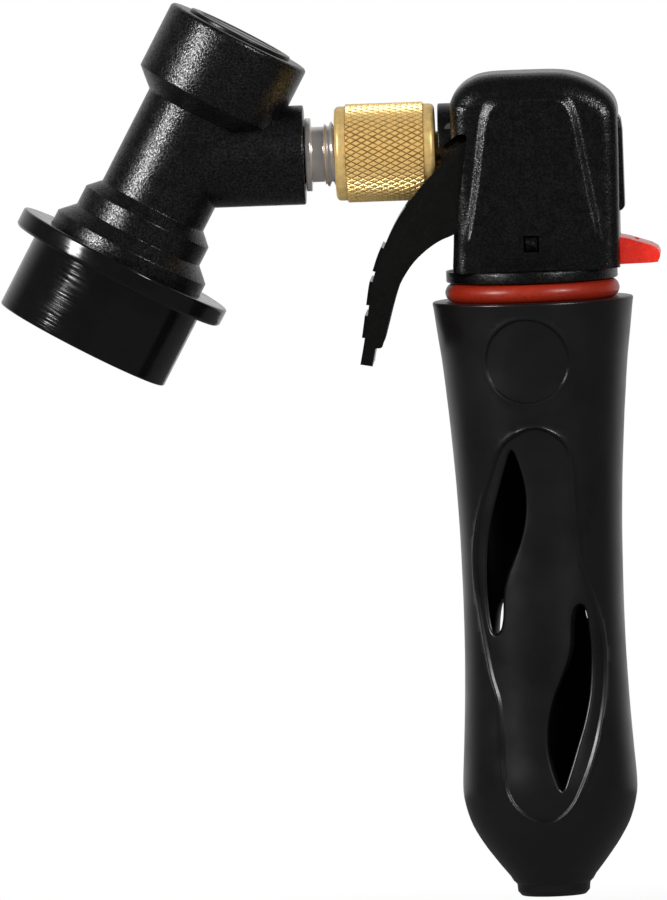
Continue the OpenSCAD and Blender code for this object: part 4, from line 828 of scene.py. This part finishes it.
class CHARGER_OT_head(bpy.types.Operator):
    """Shapes the head cover, the frame under it and the seal ring"""
    bl_idname = "charger.head"
    bl_label = "Head"

    def execute(self, context):
        sizes = context.scene.charger_sizes
        self.cover(sizes)
        self.frame_piece()
        # The seal is a ring whose mould leaves a fine parting line round it.
        seam_start, seam_swell = 14.97, 1.0022
        activate(None)
        bpy.ops.mesh.primitive_torus_add(major_segments=160, minor_segments=24,
                                         major_radius=13.25 * MM, minor_radius=1.73 * MM,
                                         location=(0, 0, 1.5 * MM))
        ring = named("seal_shell")
        bpy.ops.object.transform_apply()
        for v in ring.data.vertices:
            if v.co.xy.length > seam_start * MM:
                v.co.xy *= seam_swell
        dress(ring, ON_HANDLE, "head", "silicone_red", ["seal_ring"], 60)
        return {"FINISHED"}

    def cover(self, sizes):
        """The cover's sides are flat triangulated sheets whose edges follow the outlines of the
        cover and its panel, because the rounding and the panel's slopes have to follow them
        too. They are given their relief and joined by a crown."""
        half, high, foot_height = 11.4, sizes.panel_height / MM, 5.27
        line = curve(COVER, 4, closed=False)
        # how far the sides are rounded into the cover's front, top and back
        n = len(line)
        radius = np.interp(np.arange(n), [0, 16, 26, 48, 84, 100, n - 1],
                           [2.7, 2.7, 4.4, 5.2, 4.2, 2.7, 2.7])
        side = outward(line, closed=False)
        face, foot = curve(PANEL_FACE, 4), curve(PANEL_FOOT, 4)
        closed = np.concatenate([line, [line[-1] + (0, -1), line[0] + (0, -1)]])
        offsets = [line + side * (radius * (1 - math.cos(a)))[:, None]
                   for a in np.linspace(0, math.pi / 2, 8)[1:]]
        # the panel's slope: shares of the way from its foot to its face, and of its height
        ways, rises = (0, 0.12, 0.3, 0.5, 0.7, 0.88, 1), (0, 0.07, 0.26, 0.5, 0.74, 0.93, 1)
        borders = [foot + (face - foot) * way for way in ways]
        # spare points fill the sheet, clear of the lines that its edges follow
        apart, line_clear, edge_clear = 0.8, 0.3, 0.4
        grid = np.array([(x, z) for x in np.arange(-13.5, 16, apart)
                         for z in np.arange(-0.5, 39, apart)])
        in_border = (beyond(grid, foot) < line_clear) & (beyond(grid, face) > -line_clear)
        grid = grid[(beyond(grid, closed) < -edge_clear) & ~in_border]
        flat, tris, rings = cut_sheet([closed] + borders, grid, [], offsets)
        tris = [t for t in tris if within(flat[t].mean(0)[None], closed)[0]]
        # each point's distance from the outline gives the rounding of the edge there, and its
        # place between the panel's foot and face gives the panel's rise
        away = np.sqrt(((flat[:, None] - line) ** 2).sum(2))
        r = radius[away.argmin(1)]
        d = np.clip(-beyond(flat, closed), 0, r)
        height = half - r + np.sqrt(np.maximum(r ** 2 - (r - d) ** 2, 0))
        to_foot = np.clip(-beyond(flat, foot), 0, None)
        to_face = np.clip(beyond(flat, face), 0, None)
        share = to_foot / np.maximum(to_foot + to_face, 1e-6)
        height += high * np.interp(share, ways, rises)
        points = [(x, -h, z) for (x, z), h in zip(flat, height)]
        count = len(points)
        points += [(x, -y, z) for x, y, z in points]
        faces = [list(t) for t in tris] + [[count + i for i in t] for t in tris]
        # the crown joins both sides in rows across
        rows = 8
        edge = rings[0][:n]
        across = []
        for k in range(rows + 1):
            across.append(len(points))
            points += [(flat[i][0], -height[i] * (1 - 2 * k / rows), flat[i][1])
                       for i in edge]
        faces += [[across[k] + i, across[k] + i + 1, across[k + 1] + i + 1, across[k + 1] + i]
                  for k in range(rows) for i in range(n - 1)]
        cover = shell("cover_shell", points, faces)
        slice_off(cover, (0, 0, foot_height), (0, 0, 1), clear_inner=True)
        bore, lip_front = 7.3, -15.2
        lip = lathe("lip", rounded([(bore, 0, 0.1), (8.05, 0, 0.3), (8.05, 4, 0),
                                    (bore, 4, 0)]), 96)
        lip.data.transform(Matrix.Translation((lip_front * MM, 0, OUTLET_HEIGHT * MM))
                           @ Matrix.Rotation(math.pi / 2, 4, "Y"))
        combine(cover, lip)
        # the hollow follows the outline at the cover's wall, with its upper edges cut off
        wall = sizes.cover_wall / MM
        inside = line[::4] + wall * side[::4]
        inside = [tuple(p) for p in inside if p[1] > 8]
        hollow = prism("hollow", [(inside[0][0], 2)] + inside + [(inside[-1][0], 2)],
                       wall - half, half - wall)
        for y in (-1, 1):
            slice_off(hollow, (0, y * (half - wall), 31), (0, y * 0.82, 0.57),
                      clear_outer=True)
        cut(cover, hollow)
        cut(cover, rod("bore", bore, (-16, 0, OUTLET_HEIGHT), (-9, 0, OUTLET_HEIGHT), 96))
        cut(cover, prism("slot", SLOT, -14, 14))
        for near, far in sides(8.4, 10.6):
            cut(cover, block("notch", (-15, near, 6.45), (-11.5, far, 12.4)))
        for near, far in sides(9, 14):
            cut(cover, block("window", (-1.0, near, 8.55), (1.6, far, 11.35)))
        cut(cover, block("tab_slot", (12.5, -6.8, 4), (17, 6.8, 10.7)))
        spine = prism("spine", [(14.6, 14.8), (15.9, 14.8), (16.42, 15.5), (16.42, 28.5),
                                (16.2, 30.4), (15.5, 31.5), (14.6, 31.6)], -5, 5)
        soften(spine, 0.45 * MM, 40)
        combine(cover, spine)
        dress(cover, ON_HANDLE, "head", "glass_filled_nylon", ["head_cover"],
              32)

    def frame_piece(self):
        # The tower above the flange is a copy of the solid's. The flange and the neck are
        # turned anew, so that the neck carries its thread.
        solid = frame["nodes"]["head_frame"]
        tower = solid.copy()
        tower.data = solid.data.copy()
        bpy.context.scene.collection.objects.link(tower)
        tower.data.transform(ON_HANDLE.inverted())
        tower.name = tower.data.name = "frame_shell"
        tower.hide_render = tower.hide_viewport = False
        for key in list(tower.keys()):
            del tower[key]
        tower.parent = None
        edit(tower)
        bpy.ops.mesh.remove_doubles(threshold=0.002 * MM)
        tower_foot = 5.0
        slice_off(tower, (0, 0, tower_foot), (0, 0, 1), clear_inner=True)
        neck = lathe("neck", rounded([
            (8.45, -9, 0.3), (11.2, -9, 0.5), (11.55, -8.2, 0.2), (11.55, -1.9, 0.2),
            (11.45, -1.7, 0), (11.45, 3.3, 0.2), (14.75, 3.3, 0.25), (14.75, 5.2, 0.35),
            (8.45, 5.2, 0)], arc=4), 128)
        gather(neck, helix("neck_thread", 11.6, 12.32, 2.0, -8.6, -1.4, 96), tower)
        dress(neck, ON_HANDLE, "head", "glass_filled_nylon", ["head_frame"],
              32)


class CHARGER_OT_trigger(bpy.types.Operator):
    """Cuts the trigger and the safety slide"""
    bl_idname = "charger.trigger"
    bl_label = "Trigger and slide"

    def execute(self, context):
        outer = curve(TRIGGER_OUTER, 3, closed=False)
        outline = np.concatenate([outer, curve(TRIGGER_INNER, 3, closed=False)])
        (x, z), arms = PIVOT, sides(8.6, 10.2)
        trigger = prism("trigger_shell", outline, *arms[0])
        combine(trigger, prism("arm", outline, *arms[1]))
        for near, far in arms:
            combine(trigger, rod("hub", 3.3, (x, near, z), (x, far, z)))
        # the finger plate lies along the outer edge below the arms, with three raised pads
        plate_top, plate_wall, pad_rise, pad_root = 16.6, 2.1, 0.5, 0.8
        grip = outer[outer[:, 1] < plate_top]
        back = grip - plate_wall * outward(grip, closed=False)
        combine(trigger, prism("plate", np.concatenate([grip, back[::-1]]), -9.4, 9.4))
        for high, low in ((10, 6), (4.3, 0.3), (-1.5, -5.3)):
            level = np.linspace(high, low, 8)
            pad = np.stack([np.interp(-level, -grip[:, 1], grip[:, 0]), level], 1)
            n = outward(pad, closed=False)
            pad = np.concatenate([pad + pad_rise * n, (pad - pad_root * n)[::-1]])
            combine(trigger, prism("pad", pad, -9.8, 9.8))
        combine(trigger, rod("bar", 1.2, (-12.4, -9, 16.5), (-12.4, 9, 16.5), 32))
        for y in (-1, 1):
            cut(trigger, rod("hole", 1.55, (x, y * 8, z), (x, y * 11, z), 40))
        soften(trigger, context.scene.charger_sizes.edge_round, 35)
        dress(trigger, ON_HANDLE, "trigger", "nylon_satin", ["trigger"], 40)

        slide = prism("slide_shell", TAB, -6.5, 6.5)
        cut(slide, prism("groove", [(17.9, 9.45), (18.5, 9.3), (18.7, 11), (17.8, 11)], -5, 5))
        soften(slide, 0.45 * MM, 40)
        # the slide's frame inside the cover: a bar across, two prongs and their stops
        low, high = 5.6, 7.2
        combine(slide, block("bar", (11.3, -8, low), (13.9, 8, high)))
        for near, far in sides(6.7, 8.0):
            combine(slide, block("fork", (-8.2, near, low), (11.7, far, high)))
        for near, far in sides(6.7, 10.2):
            combine(slide, block("stop", (-8.2, near, low), (-6.6, far, high)))
        dress(slide, ON_HANDLE, "slide", "acetal_red", ["safety_slide"], 35)
        return {"FINISHED"}


class CHARGER_OT_barrel(bpy.types.Operator):
    """Shapes the barrel with its windows, bands and bare round recesses"""
    bl_idname = "charger.barrel"
    bl_label = "Barrel"

    # radius at which the skin is unrolled, and columns of its sheet on each half
    middle, columns = 14.0, 48

    def skin(self, points, radius=None):
        """Side view points (across, up) as places on the unrolled skin of a radius."""
        r = np.array([radius or smooth_through(GRIP, -z) for _, z in points])
        return np.stack([np.arcsin(np.clip(points[:, 0] / r, -1, 1))
                         * (radius or self.middle), points[:, 1]], 1)

    def execute(self, context):
        # The skin is a flat triangulated sheet whose edges follow the windows, bands and
        # recesses, because their rounded lips have to follow them too. It is given its relief
        # and then rolled up.
        sizes = context.scene.charger_sizes
        band_deep, badge_deep = sizes.band_depth / MM, sizes.badge_depth / MM
        lip = sizes.lip_round / MM
        upper = curve(WINDOW, 4)
        lower = 2 * np.array(BAND_MIDDLE) - upper
        side_windows = [anticlockwise(upper), anticlockwise(lower)]
        windows = [self.skin(w) for w in side_windows]
        band = anticlockwise(self.skin(curve(BAND, 5)))
        turn = np.linspace(0, 2 * math.pi, 96, endpoint=False)
        badge = self.skin(np.stack([BADGE[0] + BADGE[2] * np.cos(turn),
                                    BADGE[1] + BADGE[2] * np.sin(turn)], 1))
        # half widths of the band's and the recess's edges, and the sheet's top and bottom
        soft, crisp, top, low = 0.15, 0.09, -0.9, -99.4
        # a low lip stands round the band and the recess, which catches the light as the thin
        # lit lines there do: its crest's and its foot's distance from the edge, and its height
        band_crest, band_lip, band_rise = 0.38, 0.6, 0.09
        badge_crest, badge_lip, badge_rise = 0.33, 0.55, 0.07
        lips = [(lip * (1 - math.sin(a)), lip * (1 - math.cos(a)))
                for a in np.linspace(0, math.pi / 2, 5)]
        loops = list(windows)
        loops += [w + d * outward(w) for w in windows for d, _ in lips[:-1]]
        loops += [band + d * outward(band)
                  for d in (band_lip, band_crest, soft, soft / 2, -soft / 2, -soft)]
        loops += [badge + d * outward(badge) for d in (badge_lip, badge_crest, crisp, -crisp)]
        edge = self.middle * math.pi / 2
        s = np.linspace(-edge, edge, self.columns + 1)
        z = np.linspace(top, low, 100)
        grid = np.array([(a, b) for a in s for b in z])
        # spare points fill the sheet, clear of those edges, but all along its two sides
        band_gap, badge_gap, window_gap = 0.8, 0.7, lip + 0.4
        clear = np.abs(beyond(grid, band)) > band_gap
        clear &= np.abs(beyond(grid, badge)) > badge_gap
        for w in windows:
            clear &= beyond(grid, w) > window_gap
        clear |= np.abs(np.abs(grid[:, 0]) - edge) < 1e-6
        flat, faces, rings = cut_sheet(loops, grid[clear], windows)
        off = beyond(flat, band)
        depth = band_deep * np.interp(off, [-soft, -soft / 2, soft / 2, soft],
                                      [1, 0.82, 0.18, 0])
        ring = beyond(flat, badge)
        depth += badge_deep * np.interp(ring, [-crisp, crisp], [1, 0])
        depth -= band_rise * np.interp(off, [soft, band_crest, band_lip], [0, 1, 0])
        depth -= badge_rise * np.interp(ring, [crisp, badge_crest, badge_lip], [0, 1, 0])
        for w in windows:
            depth += np.interp(beyond(flat, w), [d for d, _ in lips][::-1],
                               [h for _, h in lips][::-1], right=0)
        points = []
        for (a, b), d in zip(flat, depth):
            r = smooth_through(GRIP, -b) - d
            angle = a / self.middle
            points.append((r * math.sin(angle), -r * math.cos(angle), b))
        # the bay's wall, with the windows pulled straight through
        bay, bay_top, bay_floor, inner_gap = 11.5, -12, -86, 0.5
        inner_windows = [self.skin(w, bay) for w in side_windows]
        edge_in = bay * math.pi / 2
        grid = np.array([(a, b) for a in np.linspace(-edge_in, edge_in, self.columns + 1)
                         for b in np.linspace(bay_top, bay_floor, 75)])
        clear = np.ones(len(grid), bool)
        for w in inner_windows:
            clear &= beyond(grid, w) > inner_gap
        flat_in, faces_in, rings_in = cut_sheet(inner_windows, grid[clear], inner_windows)
        first = len(points)
        points += [(bay * math.sin(a / bay), -bay * math.cos(a / bay), b) for a, b in flat_in]
        faces += [[first + i for i in f[::-1]] for f in faces_in]
        for outer_ring, inner_ring in zip(rings[:2], rings_in):
            n = len(outer_ring)
            for i in range(n):
                j = (i + 1) % n
                faces.append([outer_ring[i], outer_ring[j], first + inner_ring[j],
                              first + inner_ring[i]])
        count = len(points)
        points += [(-x, -y, z) for x, y, z in points]
        faces += [[count + i for i in f] for f in faces]
        barrel = shell("barrel_shell", points, faces)

        steps = 2 * self.columns
        start, r0 = smooth_through(GRIP, -top), smooth_through(GRIP, -low)
        rim = lathe("rim", rounded([(start, top, 0), (17.33, 0, 0.35), (14.65, 0, 0.2),
                                    (12.4, -2.25, 0.1), (12.4, -9.6, 0), (bay, -9.6, 0),
                                    (bay, bay_top, 0)], closed=False), steps, closed=False)
        foot = lathe("foot", [(r0, low)] + rounded([
            (6.95, -100.1, 0.2), (6.3, -100.75, 0.4), (6.2, -102.0, 0.3), (5.5, -102.8, 0.5),
            (0, -102.8, 0)], closed=False), steps, closed=False)
        floor = lathe("floor", [(bay, bay_floor), (bay, -86.5), (8.3, -90.8), (8.3, -94.8),
                                (0, -94.8)], steps, closed=False)
        gather(barrel, rim, foot, floor)
        edit(barrel)
        bpy.ops.mesh.remove_doubles(threshold=0.02 * MM)
        bpy.ops.mesh.normals_make_consistent(inside=False)
        bpy.ops.object.mode_set(mode="OBJECT")
        # the pattern is turned a little about the barrel's axis, as in the photograph
        barrel.data.transform(Matrix.Rotation(math.radians(-4.5), 4, "Z"))
        dress(barrel, ON_HANDLE, "barrel", "polypropylene_satin", ["barrel"],
              42)
        return {"FINISHED"}


def soft_box(name, azimuth, elevation, distance, width, height, watts, aim):
    """An area lamp at a bearing from the aim: 0 is the camera's side, positive to its right."""
    a, e = math.radians(azimuth), math.radians(elevation)
    data = bpy.data.lights.new(name, "AREA")
    data.shape, data.size, data.size_y, data.energy = "RECTANGLE", width, height, watts
    lamp = bpy.data.objects.new(name, data)
    bpy.context.scene.collection.objects.link(lamp)
    way = Vector((math.sin(a) * math.cos(e), -math.cos(a) * math.cos(e), math.sin(e)))
    lamp.location = Vector(aim) + way * distance
    lamp.rotation_euler = way.to_track_quat("Z", "Y").to_euler()


class CHARGER_OT_stage(bpy.types.Operator):
    """Sets the camera, the lamps, the floor and the white surroundings"""
    bl_idname = "charger.stage"
    bl_label = "Stage"

    def execute(self, context):
        scene = context.scene
        scene.view_settings.view_transform = "Standard"
        # The camera stands a little above the object and to its right, a long way off, and is
        # turned a little about its own axis, as in the photograph.
        yaw, rise, roll = math.radians(1.5), math.radians(3.4), math.radians(2.1)
        aim = Vector((35.56, 0, -32.25)) * MM
        turned = (Matrix.Rotation(yaw, 3, "Z") @ Matrix.Rotation(math.pi / 2 - rise, 3, "X")
                  @ Matrix.Rotation(-roll, 3, "Z"))
        back = turned @ Vector((0, 0, 1))
        distance, shown, sensor = 4.0, 154.8 * MM, 36
        data = bpy.data.cameras.new("camera")
        data.sensor_fit, data.sensor_height = "VERTICAL", sensor
        data.lens = sensor * distance / shown
        data.clip_start, data.clip_end = 0.05, 20
        camera = bpy.data.objects.new("camera", data)
        scene.collection.objects.link(camera)
        place = aim + back * distance
        camera.matrix_world = Matrix.Translation(place) @ turned.to_4x4()
        scene.camera = camera

        centre = (0.045, 0, -0.03)
        soft_box("key", -50, 24, 0.8, 0.18, 0.24, 4.6, centre)
        soft_box("fill", 42, 26, 0.8, 0.14, 0.18, 3.0, centre)

        # The surroundings are plain white to the camera. Glossy pieces mirror a dim room that
        # is brighter behind the object, and the other light from it is under half as strong.
        room, room_behind, other_light = 0.08, 0.7, 0.45
        world = bpy.data.worlds.new("surroundings")
        scene.world = world
        world.use_nodes = True
        tree = world.node_tree
        tree.nodes.clear()
        path = add(tree, "LightPath")
        seen = add(tree, "Math", {0: path.outputs["Is Camera Ray"],
                                  1: path.outputs["Is Transmission Ray"]}, operation="MAXIMUM")
        way = add(tree, "TexCoord").outputs["Generated"]
        parts = add(tree, "SeparateXYZ", {0: way})
        behind = add(tree, "MapRange",
                     {"Value": parts.outputs[1], "From Min": 0.3, "From Max": 0.98,
                      "To Min": room, "To Max": room_behind}, interpolation_type="SMOOTHSTEP")
        mirrored = add(tree, "Mix", {0: path.outputs["Is Glossy Ray"], 2: other_light,
                                     3: behind})
        strength = add(tree, "Mix", {0: seen, 2: mirrored, 3: 1.0})
        sky = add(tree, "Background", {"Color": (1, 1, 1, 1), "Strength": strength})
        add(tree, "OutputWorld", {"Surface": sky})

        drop = scene.charger_sizes.floor_drop
        activate(None)
        bpy.ops.mesh.primitive_circle_add(vertices=128, radius=0.45, fill_type="NGON",
                                          location=(0.04, 0, cad_box[0][2] - drop))
        floor = named("floor")
        material = bpy.data.materials.new("pale_floor")
        material.use_nodes = True
        tree = material.node_tree
        tree.nodes.clear()
        path = add(tree, "LightPath")
        where = add(tree, "TexCoord").outputs["Object"]
        far = add(tree, "VectorMath", {0: where}, operation="LENGTH")
        fade = add(tree, "MapRange", {"Value": far.outputs["Value"],
                                      "From Min": 0.12, "From Max": 0.42},
                   interpolation_type="SMOOTHSTEP")
        share = add(tree, "Math", {0: path.outputs["Is Camera Ray"],
                                   1: fade}, operation="MULTIPLY")
        matt = add(tree, "BsdfPrincipled", {"Base Color": linear("#f2f2f1"), "Roughness": 0.8})
        bright = add(tree, "Emission", {"Color": (1, 1, 1, 1), "Strength": 1.0})
        mix = add(tree, "MixShader", {0: share, 1: matt, 2: bright})
        # its reflection in the glossy pieces is that of a darker room
        dim = add(tree, "Emission", {"Color": (1, 1, 1, 1), "Strength": 0.12})
        mirrored = add(tree, "MixShader", {0: path.outputs["Is Glossy Ray"], 1: mix, 2: dim})
        add(tree, "OutputMaterial", {"Surface": mirrored})
        floor.data.materials.append(material)
        return {"FINISHED"}


class CHARGER_PT_panel(bpy.types.Panel):
    """Lists the charger's pieces, sizes and colours"""
    bl_idname = "CHARGER_PT_panel"
    bl_label = "Keg gas charger"
    bl_space_type = "VIEW_3D"
    bl_region_type = "UI"
    bl_category = "Charger"

    def draw(self, context):
        for group in (context.scene.charger_sizes, context.scene.charger_colours):
            for name in group.__annotations__:
                self.layout.prop(group, name)
        for operator in operators:
            self.layout.operator(operator.bl_idname)


operators = (CHARGER_OT_stage, CHARGER_OT_finishes, CHARGER_OT_kept_solids,
             CHARGER_OT_disconnect, CHARGER_OT_outlet, CHARGER_OT_head, CHARGER_OT_trigger,
             CHARGER_OT_barrel)
classes = (ChargerSizes, ChargerColours, *operators, CHARGER_PT_panel)


def register():
    for made in classes:
        bpy.utils.register_class(made)
    bpy.types.Scene.charger_sizes = bpy.props.PointerProperty(type=ChargerSizes)
    bpy.types.Scene.charger_colours = bpy.props.PointerProperty(type=ChargerColours)


def unregister():
    del bpy.types.Scene.charger_colours
    del bpy.types.Scene.charger_sizes
    for made in reversed(classes):
        bpy.utils.unregister_class(made)


def main():
    register()
    bpy.ops.charger.stage()
    bpy.ops.charger.finishes()
    bpy.ops.charger.kept_solids()
    bpy.ops.charger.disconnect()
    bpy.ops.charger.outlet()
    bpy.ops.charger.head()
    bpy.ops.charger.trigger()
    bpy.ops.charger.barrel()


if __name__ == "__main__":
    main()
